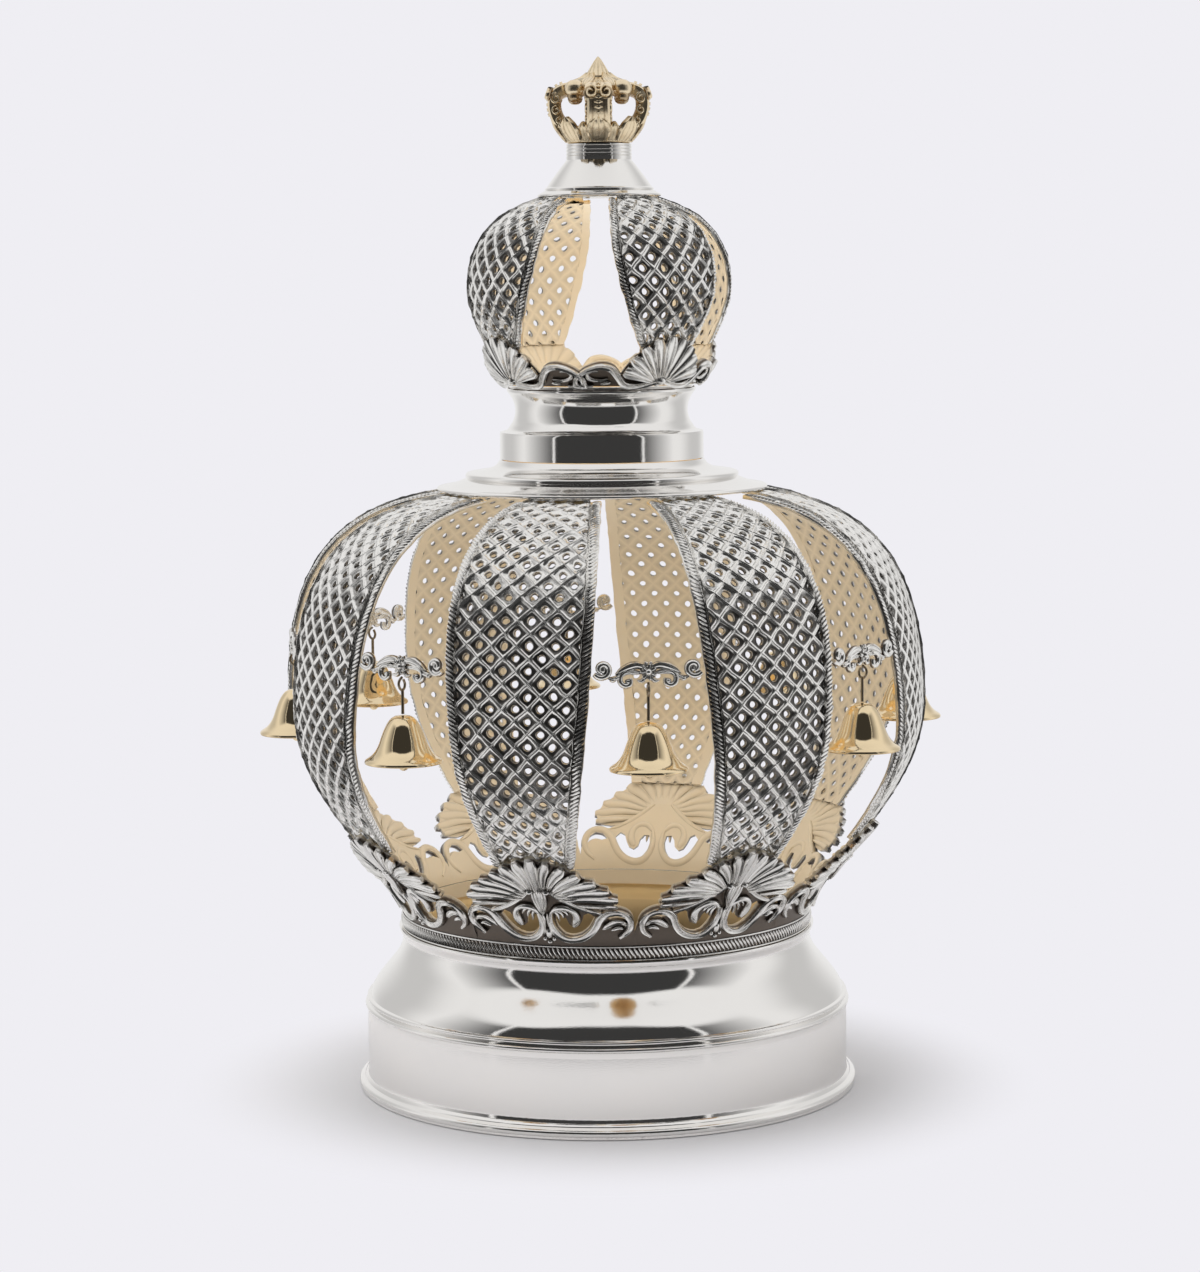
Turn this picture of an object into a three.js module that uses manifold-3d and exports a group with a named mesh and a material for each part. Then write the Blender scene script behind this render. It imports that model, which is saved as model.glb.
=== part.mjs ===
// A silver crown for a Torah scroll: a spun foot, a pierced gallery, a dome of eight broad ribs
// with bells hung between them, a stepped neck, a small second dome of four ribs and a gilt finial.
// Millimetres, +Z up, the foot stands on z = 0 and the front rib faces -Y.
// Azimuth is counted from -Y towards +X.

import * as THREE from 'three';
import { mergeVertices } from 'three/addons/utils/BufferGeometryUtils.js';
import Module from 'manifold-3d';

const wasm = await Module();
wasm.setup();

// Driving dimensions

const clearance = 0.3; // between two pieces that touch
const sheet = 1.4; // wall of every spun and pierced piece
const ropeRise = 0.8; // how far the rope edges stand out of a rib
const ropeWidth = 3.6;

const footRadius = 105;
const footRimHeight = 6.4;
const drumRadius = 101;
const drumTop = 33.5;
const rollRise = 0.9; // the two rolls above the drum
const rollHeight = 2.4;
const waistRadius = 85.8; // top of the foot, under the gallery
const waistHeight = 62;
const footHeight = 67.7;

const bandHeight = 5.8; // rope band round the waist
const bandDepth = 3.6;

const ribCount = 8;
const domeRadius = 132.7; // main dome, at its widest
const domeWidestHeight = 88; // above the top of the rope band
const domeRise = 175; // top of the rope band to the top of the ribs
const domeTopSlope = 7;
const ribTuck = 3; // how far the ribs run in under the shoulder
const ribFootAngle = 8.6; // half widths of a rib: foot, swell and top
const ribSwellAngle = 14.3;
const ribTopAngle = 14.6;

const wallColumns = 6; // flat stretches of a gallery wall under each fan
const galleryNotch = 10; // wall of the gallery above the band: between loops, at a loop, behind a fan
const galleryLoop = 16;
const galleryWall = 19;
const ribFoot = 30; // where the ribs start, above the band
const fanHeart = 23.5; // centre of a palmette above the band
const fanReach = 24; // length of its upper lobes
const fanSideReach = 31.3; // length of its side lobes
const fanLobes = 11;
const fanRise = 3.2; // how far its heart stands out of the wall
const lobeRise = 1.3;
const tipRise = 2.7; // how far the tips of a fan stand off the ribs behind them

const shoulderRadius = 68.7;
const shoulderRise = 3.2; // rim of the shoulder up to the foot of its step
const stepRadius = 55.8;
const stepRise = 2.8;
const coveRise = 5.2;

const neckRadius = 42.3; // plain ring at the bottom of the neck
const neckRingHeight = 11.2;
const neckWaist = 36;
const neckHeight = 30.6;
const neckLip = 39.2;

const upperRibCount = 4;
const upperTurn = 3.5; // the second dome is set slightly round from the first
const upperRadius = 54.8;
const upperWidestHeight = 37;
const upperRise = 75.6;
const upperTopRadius = 24;
const upperTopSlope = 18.6;
const upperFootAngle = 14;
const upperSwellAngle = 35;
const upperTopAngle = 24.5;
const upperNotch = 6.5;
const upperLoop = 11.5;
const upperRibFoot = 11;
const shellHeart = 4;
const shellReach = 19.5;
const shellSideReach = 17;
const shellFlutes = 9;
const shellRise = 2.4;

const brimRadius = 25.6;
const brimWidth = 3.2;
const capHeight = 21.4;
const capNeckRadius = 13.7;
const capRingRadius = 13.3;
const capRingHeight = 5.4;
const capFlare = 4; // how far the bell of the cap draws in low down, and flares under its ring
const capNeckFlare = 3;
const capNeckRise = 5;

const finialHeight = 35.4;
const finialRadius = 21.6;
const finialTurn = 15; // one of its arms stands this far round from the front
const calyxRadius = 18.6;
const armWidth = 8.5;
const armDepth = 5;
const armSwell = 2; // how far the handles of an arm's curve stand out of its widest place
const budRadius = 4.2;

const linkHeight = 190.5; // centre line of the festoons between the ribs
const linkSag = 2.5;
const linkThickness = 3;
const linkScroll = 3.6; // radius of the scrolls at the ends of a link
const linkBoss = 4.6;
const hookWire = 1.3;
const hookEye = 2.2;
const hookLength = 14.4;
const bellRadius = 15.2;
const bellHeight = 19;
const bellWall = 0.9;
const bellCrown = 5.9;
const clapperReach = 3; // below the rim of the bell
const clapperBall = 2.1;

// Heights that follow from the sizes above

const bandBottom = footHeight + clearance;
const bandTop = bandBottom + bandHeight;
const galleryBottom = bandTop + clearance;
const domeTop = galleryBottom + domeRise;
const shoulderBottom = domeTop + ropeRise + clearance;
const shoulderTop = shoulderBottom + sheet + shoulderRise + stepRise + coveRise;
const neckBottom = shoulderTop + clearance;
const neckTop = neckBottom + neckHeight;
const upperBottom = neckTop + clearance;
const upperTop = upperBottom + upperRise;
const capBottom = upperTop + ropeRise + clearance;
const finialBottom = capBottom + capHeight + clearance;
const domeTopRadius = shoulderRadius - ribTuck;

// Small helpers

const radians = THREE.MathUtils.degToRad;
const mix = THREE.MathUtils.lerp;
const point = (radius, height) => new THREE.Vector2(radius, height);

function place(radius, azimuth, height) {
  return new THREE.Vector3(radius * Math.sin(azimuth), -radius * Math.cos(azimuth), height);
}

// Merges shared corners and drops the triangles that a pole leaves with no area.
function weld(geometry) {
  const bare = geometry.index ? geometry.clone() : mergeVertices(geometry);
  bare.deleteAttribute('normal');
  bare.deleteAttribute('uv');
  const merged = mergeVertices(bare, 1e-4);
  const index = merged.index.array;
  const kept = [];
  for (let i = 0; i < index.length; i += 3) {
    const [a, b, c] = [index[i], index[i + 1], index[i + 2]];
    if (a !== b && b !== c && c !== a) kept.push(a, b, c);
  }
  merged.setIndex(kept);
  return merged;
}

// Moves every corner of a geometry by a function of its old place.
function bend(geometry, move) {
  const bent = weld(geometry);
  const position = bent.attributes.position;
  for (let i = 0; i < position.count; i += 1) {
    const moved = move(position.getX(i), position.getY(i), position.getZ(i));
    position.setXYZ(i, moved.x, moved.y, moved.z);
  }
  return bent;
}

function solid(geometry) {
  const welded = weld(geometry);
  return new wasm.Manifold(new wasm.Mesh({
    numProp: 3,
    vertProperties: new Float32Array(welded.attributes.position.array),
    triVerts: new Uint32Array(welded.index.array),
  }));
}

function join(geometries) {
  const joined = geometries.map(solid).reduce((whole, next) => whole.add(next));
  const mesh = joined.getMesh();
  const geometry = new THREE.BufferGeometry();
  geometry.setAttribute('position', new THREE.BufferAttribute(mesh.vertProperties, 3));
  geometry.setIndex(new THREE.BufferAttribute(mesh.triVerts, 1));
  return geometry;
}

// Turns a closed outline of (radius, height) points about the Z axis. The outline runs up on the
// outside and down on the inside.
function spin(outline, segments) {
  const closed = outline[0].x > 0 ? [...outline, outline[0]] : outline;
  return weld(new THREE.LatheGeometry(closed, segments).rotateX(Math.PI / 2));
}

// The inner face of a sheet whose outer face is this line, running upwards.
function insetLine(line, thickness) {
  return line.map((corner, i) => {
    const before = line[Math.max(i - 1, 0)];
    const after = line[Math.min(i + 1, line.length - 1)];
    const into = corner.clone().sub(before).normalize();
    const out = after.clone().sub(corner).normalize();
    const along = into.add(out).normalize();
    return point(corner.x - along.y * thickness, corner.y + along.x * thickness);
  });
}

// A line drawn as corner points with curves between them, from outer face to inner face.
function sheetOutline(outer, inner) {
  return [...outer, ...inner.toReversed()];
}

// The two domes: each is a pair of curves, foot to widest and widest to top.

function domeCurve(foot, widest, top, handles) {
  const slope = radians(handles.topSlope);
  const line = new THREE.CurvePath();
  line.add(new THREE.CubicBezierCurve(
    foot,
    point(foot.x + handles.foot * Math.sin(handles.lean), foot.y + handles.foot * Math.cos(handles.lean)),
    point(widest.x, widest.y - handles.under),
    widest,
  ));
  line.add(new THREE.CubicBezierCurve(
    widest,
    point(widest.x, widest.y + handles.over),
    point(top.x + handles.top * Math.cos(slope), top.y - handles.top * Math.sin(slope)),
    top,
  ));
  return line;
}

const mainDome = domeCurve(
  point(waistRadius, galleryBottom),
  point(domeRadius, galleryBottom + domeWidestHeight),
  point(domeTopRadius, domeTop),
  {
    foot: 0.19 * domeWidestHeight,
    lean: 0,
    under: 0.45 * domeWidestHeight,
    over: 0.69 * (domeRise - domeWidestHeight),
    top: 0.64 * (domeRadius - domeTopRadius),
    topSlope: domeTopSlope,
  },
);

const upperDome = domeCurve(
  point(neckLip, upperBottom),
  point(upperRadius, upperBottom + upperWidestHeight),
  point(upperTopRadius, upperTop),
  {
    foot: 0.21 * upperWidestHeight,
    lean: radians(65),
    under: 0.17 * upperWidestHeight,
    over: 0.75 * (upperRise - upperWidestHeight),
    top: 0.35 * (upperRadius - upperTopRadius),
    topSlope: upperTopSlope,
  },
);

// Share of the way along a dome's line at which it reaches a height.
function shareAtHeight(dome, height) {
  let low = 0;
  let high = 1;
  for (let i = 0; i < 40; i += 1) {
    const middle = (low + high) / 2;
    if (dome.getPointAt(middle).y < height) low = middle;
    else high = middle;
  }
  return low;
}

// A place on a dome: share of its line, azimuth in radians, and distance out of its outer face.
function onDome(dome, share, azimuth, out) {
  const here = dome.getPointAt(share);
  const along = dome.getTangentAt(share);
  return place(here.x + along.y * out, azimuth, here.y - along.x * out);
}

// Ribs

function ribHalfAngle(rib, share) {
  const curve = new THREE.QuadraticBezierCurve(
    point(0, rib.footAngle),
    point(0.5, rib.swellAngle),
    point(1, rib.topAngle),
  );
  return radians(curve.getPoint(share).y);
}

const mainRib = {
  dome: mainDome,
  start: shareAtHeight(mainDome, galleryBottom + ribFoot),
  footAngle: ribFootAngle,
  swellAngle: ribSwellAngle,
  topAngle: ribTopAngle,
  rows: 6,
};

const upperRib = {
  dome: upperDome,
  start: shareAtHeight(upperDome, upperBottom + upperRibFoot),
  footAngle: upperFootAngle,
  swellAngle: upperSwellAngle,
  topAngle: upperTopAngle,
  rows: 5,
};

// A curved plate with a raised rope along both edges. Its columns run edge, crest of the rope, foot
// of the rope, middle, and the same back to the other edge.
function ribGeometry(rib, azimuth) {
  const columns = 6;
  const plate = new THREE.BoxGeometry(1, 1, 1, columns, rib.rows, 1);
  return bend(plate, (x, y, z) => {
    const column = Math.round((x + 0.5) * columns);
    const share = mix(rib.start, 1, y + 0.5);
    const half = ribHalfAngle(rib, (share - rib.start) / (1 - rib.start));
    const rope = ropeWidth / rib.dome.getPointAt(share).x;
    const steps = [-half, rope / 2 - half, rope - half, 0, half - rope, half - rope / 2, half];
    const onCrest = column === 1 || column === 5;
    const crest = onCrest ? ropeRise : 0;
    return onDome(rib.dome, share, azimuth + steps[column], z > 0 ? crest : -sheet);
  });
}

// Galleries

// The wall is a spun strip on the dome whose top edge rises and falls round the crown.
function galleryWallGeometry(dome, bottom, count, topAt, turn) {
  const outer = [0, 0.5, 1].map((share) => point(2, share));
  const inner = [0, 1].map((share) => point(1, share));
  const ring = spin(sheetOutline(outer, inner), count * wallColumns);
  return bend(ring, (x, y, z) => {
    const azimuth = Math.atan2(x, -y);
    const height = mix(bottom, bottom + topAt(azimuth), z);
    const isOuter = Math.hypot(x, y) > 1.5;
    return onDome(dome, shareAtHeight(dome, height), azimuth + turn, isOuter ? 0 : -sheet);
  });
}

// Top edge of a gallery wall: low between two loops, up over each loop, highest behind the fan.
function wallTop(heights, count) {
  return (azimuth) => {
    const unit = (2 * Math.PI) / count;
    const fromFan = Math.abs(azimuth - unit * Math.round(azimuth / unit)) / (unit / 2);
    if (fromFan > 0.78) return mix(heights.loop, heights.notch, (fromFan - 0.78) / 0.22);
    if (fromFan > 0.4) return mix(heights.wall, heights.loop, (fromFan - 0.4) / 0.38);
    return heights.wall;
  };
}

// A fluted fan on a dome. Its lobes spread from a heart, with a ridge down each lobe and a valley
// between lobes; below, it runs out into the wall that carries it.
function fanGeometry(fan, azimuth) {
  const spread = radians(fan.spread);
  const fluted = fan.lobes * 2;
  const segments = fluted + 4;
  const cone = new THREE.ConeGeometry(1, 1, segments, 1).rotateX(Math.PI / 2);
  const heartShare = shareAtHeight(fan.dome, fan.heart);
  const heart = fan.dome.getPointAt(heartShare);
  const length = fan.dome.getLength();
  return bend(cone, (x, y, z) => {
    const reach = Math.hypot(x, y);
    if (reach < 0.01) return onDome(fan.dome, heartShare, azimuth, z > 0 ? fan.rise : -sheet / 2);
    const step = Math.round((Math.atan2(x, y) / (2 * Math.PI)) * segments);
    const isLobe = Math.abs(step) <= fan.lobes;
    const turn = (isLobe ? step / fan.lobes : Math.sign(step)) * spread;
    const past = (Math.abs(step) - fan.lobes) / (segments / 2 - fan.lobes);
    const angle = isLobe ? turn : Math.sign(step || 1) * mix(spread, Math.PI, past);
    const side = THREE.MathUtils.smoothstep(Math.abs(angle), radians(48), radians(85));
    const ridge = (step + fan.lobes) % 2 !== 0;
    const full = mix(fan.reach, fan.sideReach, side) * (ridge ? 1 : 0.88);
    const long = isLobe ? full : fan.tail;
    const share = heartShare + (long * Math.cos(angle)) / length;
    const radius = (heart.x + fan.dome.getPointAt(share).x) / 2;
    const lift = tipRise + (ridge ? lobeRise : 0);
    const out = isLobe ? lift : -sheet / 2;
    return onDome(fan.dome, share, azimuth + (long * Math.sin(angle)) / radius, out);
  });
}

const palmette = {
  dome: mainDome,
  heart: galleryBottom + fanHeart,
  reach: fanReach,
  sideReach: fanSideReach,
  spread: 104,
  lobes: fanLobes,
  rise: fanRise,
  tail: 8,
};

const shell = {
  dome: upperDome,
  heart: upperBottom + shellHeart,
  reach: shellReach,
  sideReach: shellSideReach,
  spread: 84,
  lobes: shellFlutes,
  rise: shellRise,
  tail: 2.5,
};

function galleryGeometry(fan, count, bottom, heights, turn) {
  const unit = (2 * Math.PI) / count;
  const wall = galleryWallGeometry(fan.dome, bottom, count, wallTop(heights, count), turn);
  const fans = Array.from({ length: count }, (_, i) => fanGeometry(fan, i * unit + turn));
  return join([wall, ...fans]);
}

// Spun pieces

function footGeometry() {
  const rollStart = drumTop + 0.8;
  const rollTop = rollStart + rollHeight;
  const outer = [
    point(footRadius, 0),
    point(footRadius, footRimHeight * 0.6),
    point(drumRadius, footRimHeight),
    point(drumRadius, drumTop),
    point(drumRadius + rollRise, rollStart),
    point(drumRadius + rollRise, rollTop),
    point(drumRadius - 0.6, rollTop + 0.8),
  ];
  const shoulder = new THREE.CubicBezierCurve(
    outer.at(-1),
    point(drumRadius - 1.6, mix(rollTop, waistHeight, 0.33)),
    point(waistRadius + 2.2, mix(rollTop, waistHeight, 0.62)),
    point(waistRadius, waistHeight),
  );
  const plain = [
    point(footRadius - 1.6, 0),
    point(drumRadius, footRimHeight + 1),
    point(drumRadius - 0.6, rollTop + 0.8),
    ...shoulder.getPoints(3).slice(1),
    point(waistRadius, footHeight),
  ];
  const inner = insetLine(plain, sheet);
  inner[0].y = 0;
  const top = point(waistRadius, footHeight);
  return spin(sheetOutline([...outer, ...shoulder.getPoints(5).slice(1), top], inner), 28);
}

function bandGeometry() {
  const middle = bandBottom + bandHeight / 2;
  const arc = new THREE.EllipseCurve(
    waistRadius - bandDepth / 2 + 0.6, middle, bandDepth / 2, bandHeight / 2, 0, 2 * Math.PI,
  );
  return spin(arc.getPoints(6).slice(0, -1), 24);
}

function shoulderGeometry() {
  const stepFoot = shoulderBottom + sheet + shoulderRise;
  const stepTop = stepFoot + stepRise;
  const outer = [
    point(shoulderRadius, shoulderBottom),
    point(shoulderRadius, shoulderBottom + sheet),
    point(stepRadius + 1.5, stepFoot),
    point(stepRadius, stepFoot + 0.4),
    point(stepRadius, stepTop - 0.6),
    point(stepRadius - 1.8, stepTop),
    point(mix(stepRadius, neckRadius, 0.75), stepTop + coveRise * 0.35),
    point(neckRadius, shoulderTop),
  ];
  const plain = [outer[1], outer[3], outer[5], outer[7]];
  const inner = insetLine(plain, sheet);
  inner[0] = point(shoulderRadius - 1, shoulderBottom);
  inner[inner.length - 1] = point(neckRadius - 2 * sheet, shoulderTop);
  return spin(sheetOutline(outer, inner), 24);
}

function neckGeometry() {
  const ringTop = neckBottom + neckRingHeight;
  const waist = new THREE.QuadraticBezierCurve(
    point(neckRadius - 2.6, ringTop + 2),
    point(2 * neckWaist - (neckRadius + neckLip) / 2 + 1, mix(ringTop, neckTop, 0.62)),
    point(neckLip, neckTop - 0.8),
  );
  const outer = [
    point(neckRadius, neckBottom),
    point(neckRadius, ringTop),
    ...waist.getPoints(4),
    point(neckLip, neckTop),
  ];
  const plain = [outer[0], outer[1], waist.getPoint(0.4), outer.at(-1)];
  const inner = insetLine(plain, sheet);
  inner[0].y = neckBottom;
  inner[inner.length - 1] = point(neckLip - 2 * sheet, neckTop);
  return spin(sheetOutline(outer, inner), 24);
}

function capGeometry() {
  const ringFoot = capBottom + capHeight - capRingHeight;
  const capTop = capBottom + capHeight;
  const bell = new THREE.CubicBezierCurve(
    point(brimRadius - brimWidth, capBottom + 1.8),
    point(brimRadius - capFlare, capBottom + capHeight / 3),
    point(capNeckRadius + capNeckFlare, ringFoot - capNeckRise),
    point(capNeckRadius, ringFoot - 0.4),
  );
  const outer = [
    point(brimRadius, capBottom),
    point(brimRadius, capBottom + 1.2),
    ...bell.getPoints(3),
    point(capRingRadius, ringFoot),
    point(capRingRadius, capTop),
    point(0, capTop),
  ];
  const inner = [
    point(0, capTop - sheet),
    point(capRingRadius - sheet, capTop - sheet),
    point(capRingRadius - sheet, ringFoot - 2),
    point(brimRadius - brimWidth - sheet, capBottom + 1.8),
    point(brimRadius - brimWidth - sheet, capBottom),
  ];
  return spin([...outer, ...inner], 20);
}

// Finial: a small open crown. A leafy calyx, four bowed arms, a domed top with a spire, and a
// rounded bud hanging between each two arms.
function finialGeometry() {
  const calyxTop = finialBottom + finialHeight * 0.3;
  const widest = finialBottom + finialHeight * 0.45;
  const roof = finialBottom + finialHeight * 0.66;
  const tip = finialBottom + finialHeight;
  const neck = capRingRadius - 1;
  const calyx = spin([
    point(0, finialBottom),
    point(neck, finialBottom),
    point(neck, finialBottom + 1.2),
    point(calyxRadius, calyxTop),
    point(calyxRadius - 2.5, calyxTop),
    point(neck - 4, finialBottom + 3),
    point(0, finialBottom + 3),
  ], 12);
  const dome = spin([
    point(0, roof - 3),
    point(finialRadius * 0.62, roof - 1.5),
    point(finialRadius * 0.66, roof + 0.8),
    point(finialRadius * 0.3, mix(roof, tip, 0.36)),
    point(finialRadius * 0.1, mix(roof, tip, 0.7)),
    point(0, tip),
  ], 8);
  const arms = [0, 1, 2, 3].map((quarter) => {
    const azimuth = radians(quarter * 90 + finialTurn);
    const path = new THREE.CubicBezierCurve(
      point(calyxRadius - 2, finialBottom + finialHeight * 0.18),
      point(finialRadius + armSwell, mix(calyxTop, widest, 0.4)),
      point(finialRadius + armSwell + 1, roof - 2),
      point(finialRadius * 0.6, roof - 0.6),
    );
    const bar = new THREE.BoxGeometry(armWidth, 1, armDepth, 1, 5, 1);
    return bend(bar, (x, y, z) => {
      const here = path.getPoint(y + 0.5);
      const along = path.getTangent(y + 0.5);
      const radius = here.x + along.y * (z - armDepth / 2);
      const height = here.y - along.x * (z - armDepth / 2);
      return place(radius, 0, height).add(new THREE.Vector3(x, 0, 0))
        .applyAxisAngle(new THREE.Vector3(0, 0, 1), azimuth);
    });
  });
  const buds = [0, 1, 2, 3].map((quarter) => {
    const azimuth = radians(quarter * 90 + 45 + finialTurn);
    const bud = new THREE.SphereGeometry(budRadius, 6, 4).rotateX(Math.PI / 2);
    const centre = place(finialRadius * 0.62, azimuth, roof - 2.4);
    return bud.translate(centre.x, centre.y, centre.z);
  });
  return join([calyx, dome, ...arms, ...buds]);
}

// Festoons and bells, one set in each gap between two main ribs

const linkTop = linkHeight + linkBoss;
const linkGapAngle = Math.PI / ribCount - ribHalfAngle(
  mainRib,
  (shareAtHeight(mainDome, linkTop) - mainRib.start) / (1 - mainRib.start),
);
const linkEdge = mainDome.getPointAt(shareAtHeight(mainDome, linkHeight)).x;
const linkRadius = linkEdge * Math.cos(linkGapAngle);
const linkHalf = linkEdge * Math.sin(linkGapAngle) - clearance * 1.5 - sheet * Math.sin(linkGapAngle);

// Upper and lower edge of a festoon at a place along it: a boss in the middle, a sagging stem and a
// scroll at each end.
function linkEdges(x) {
  const from = Math.abs(x);
  const sag = linkSag * (1 - (from / linkHalf) ** 2);
  const bump = (centre, radius) => Math.sqrt(Math.max(0, 1 - ((from - centre) / radius) ** 2)) * radius;
  const scroll = bump(linkHalf - linkScroll, linkScroll);
  const curl = bump(linkHalf * 0.45, linkScroll * 0.9);
  const stem = from > linkHalf - 0.01 ? 0.4 : 1.2;
  return {
    upper: linkHeight - sag + linkSag + Math.max(stem, scroll, bump(0, linkBoss)),
    lower: linkHeight - sag - Math.max(stem, scroll * 0.6, curl, bump(0, linkBoss * 0.8)),
  };
}

function linkGeometry(azimuth) {
  const columns = 12;
  const plate = new THREE.BoxGeometry(1, 1, linkThickness, columns, 1, 1);
  return bend(plate, (x, y, z) => {
    const along = x * 2 * linkHalf;
    const edges = linkEdges(along);
    const height = y > 0 ? edges.upper - linkSag : edges.lower;
    return place(linkRadius + z, 0, height).add(new THREE.Vector3(along, 0, 0))
      .applyAxisAngle(new THREE.Vector3(0, 0, 1), azimuth);
  });
}

const hookTop = linkEdges(0).lower - clearance;
const bellTop = hookTop - hookLength;
const bellRim = bellTop - bellHeight;

// A wire that runs down from the festoon, out round an eye and on to the bell.
function hookGeometry(azimuth) {
  const path = new THREE.CatmullRomCurve3([
    new THREE.Vector3(0, 0, hookTop),
    new THREE.Vector3(0, -hookEye, hookTop - hookEye),
    new THREE.Vector3(0, 0, hookTop - 2 * hookEye - hookWire),
    new THREE.Vector3(0, 0, bellTop + clearance),
  ]);
  const section = new THREE.Shape(new THREE.EllipseCurve(0, 0, hookWire / 2, hookWire / 2).getPoints(4));
  const wire = new THREE.ExtrudeGeometry(section, { steps: 4, extrudePath: path });
  const centre = place(linkRadius, azimuth, 0);
  return weld(wire.rotateZ(azimuth).translate(centre.x, centre.y, 0));
}

function bellGeometry(azimuth) {
  const outer = [
    point(bellRadius, bellRim),
    point(bellRadius * 0.76, bellRim + bellHeight * 0.2),
    point(bellRadius * 0.57, bellRim + bellHeight * 0.5),
    point(bellCrown, bellRim + bellHeight * 0.87),
    point(0, bellTop),
  ];
  const inner = [
    point(0, bellTop - bellWall * 1.5),
    point(bellCrown - bellWall, bellRim + bellHeight * 0.87 - bellWall),
    point(bellRadius * 0.66 - bellWall, bellRim + bellHeight * 0.3),
    point(bellRadius - bellWall, bellRim),
  ];
  const centre = place(linkRadius, azimuth, 0);
  return spin([...outer, ...inner], 8).rotateZ(azimuth).translate(centre.x, centre.y, 0);
}

function clapperGeometry(azimuth) {
  const top = bellTop - bellWall * 1.5 - clearance;
  const bottom = bellRim - clapperReach;
  const outline = [
    point(0, bottom),
    point(clapperBall, bottom + clapperBall),
    point(0.6, bottom + 2.5 * clapperBall),
    point(0.6, top),
    point(0, top),
  ];
  const centre = place(linkRadius, azimuth, 0);
  return spin(outline, 5).rotateZ(azimuth).translate(centre.x, centre.y, 0);
}

// Materials

const polishedSilver = new THREE.MeshStandardMaterial({ color: 0xd8d6d2, roughness: 0.12, metalness: 1 });
const darkenedSilver = new THREE.MeshStandardMaterial({ color: 0x9a9896, roughness: 0.35, metalness: 1 });
const gold = new THREE.MeshStandardMaterial({ color: 0xd9a441, roughness: 0.15, metalness: 1 });
const darkWire = new THREE.MeshStandardMaterial({ color: 0x4a4034, roughness: 0.4, metalness: 1 });

// The crown

const crown = new THREE.Group();

function addPiece(name, geometry, material) {
  const piece = new THREE.Mesh(geometry, material);
  piece.name = name;
  crown.add(piece);
}

const unit = (2 * Math.PI) / ribCount;
const upperUnit = (2 * Math.PI) / upperRibCount;
const upperStart = upperUnit / 2 + radians(upperTurn);

addPiece('foot', footGeometry(), polishedSilver);
addPiece('rope_band', bandGeometry(), darkenedSilver);
const mainHeights = { notch: galleryNotch, loop: galleryLoop, wall: galleryWall };
addPiece('gallery', galleryGeometry(palmette, ribCount, galleryBottom, mainHeights, 0), darkenedSilver);

for (let i = 0; i < ribCount; i += 1) {
  const gap = (i + 0.5) * unit;
  addPiece(`rib_${i + 1}`, ribGeometry(mainRib, i * unit), darkenedSilver);
  addPiece(`link_${i + 1}`, linkGeometry(gap), darkenedSilver);
  addPiece(`hook_${i + 1}`, hookGeometry(gap), darkWire);
  addPiece(`bell_${i + 1}`, bellGeometry(gap), gold);
  addPiece(`clapper_${i + 1}`, clapperGeometry(gap), gold);
}

addPiece('shoulder', shoulderGeometry(), polishedSilver);
addPiece('neck', neckGeometry(), polishedSilver);
const upperHeights = { notch: upperNotch, loop: upperLoop, wall: upperRibFoot - clearance };
addPiece(
  'upper_gallery',
  galleryGeometry(shell, upperRibCount, upperBottom, upperHeights, upperStart),
  darkenedSilver,
);
for (let i = 0; i < upperRibCount; i += 1) {
  addPiece(`upper_rib_${i + 1}`, ribGeometry(upperRib, upperStart + i * upperUnit), darkenedSilver);
}
addPiece('cap', capGeometry(), polishedSilver);
addPiece('finial', finialGeometry(), gold);

export default crown;
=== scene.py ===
# %% [markdown]
# # A silver crown for a Torah scroll
# The crown is spun, pierced and chased silver, gilt inside, with gilt bells and a gilt finial.
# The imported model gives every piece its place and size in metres. This script dresses each of
# those pieces with the fine work that a plain solid leaves out.

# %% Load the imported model
import math

import bpy
import numpy as np
from mathutils import Matrix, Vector
from mathutils.geometry import delaunay_2d_cdt


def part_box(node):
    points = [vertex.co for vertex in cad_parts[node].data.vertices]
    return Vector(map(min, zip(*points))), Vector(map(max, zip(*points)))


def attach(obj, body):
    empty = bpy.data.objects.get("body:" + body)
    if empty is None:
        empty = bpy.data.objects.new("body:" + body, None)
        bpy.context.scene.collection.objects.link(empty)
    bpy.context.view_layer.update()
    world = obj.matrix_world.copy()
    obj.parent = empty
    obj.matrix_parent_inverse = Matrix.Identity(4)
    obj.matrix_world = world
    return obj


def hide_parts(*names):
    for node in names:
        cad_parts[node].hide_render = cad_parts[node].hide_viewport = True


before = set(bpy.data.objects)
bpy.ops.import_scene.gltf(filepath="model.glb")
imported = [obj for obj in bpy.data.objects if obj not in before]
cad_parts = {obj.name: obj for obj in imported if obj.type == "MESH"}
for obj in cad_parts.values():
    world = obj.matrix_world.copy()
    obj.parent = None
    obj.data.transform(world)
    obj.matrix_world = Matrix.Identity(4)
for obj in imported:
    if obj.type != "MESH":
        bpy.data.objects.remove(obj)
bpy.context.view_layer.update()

print("pieces in the packed model:", len(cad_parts))


# %% [markdown]
# ## Shapes as plain arrays
# A chased ornament is many small closed forms: petals, ribbons, beads. Each is easiest to write
# as rows of points, so one small dictionary holds the points in millimetres, the faces, and
# values for the finish. The relief value is 1 on a raised crest and 0 in a recess, where oxide
# gathers. It also carries painted shade, lowered deep inside the foot, on the lower part of the
# finial's drops and round the holes on the gilt back of the ribs, and painted light, raised
# towards the ends of the ribs. "inside" is 1 on the gilt inner side. They become named
# attributes, which the materials read.

# %% One shape, and many shapes as one object
MM = 0.001
FULL_TURN = 2 * math.pi
POINT_VALUES = ("relief", "inside", "anchor")


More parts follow.
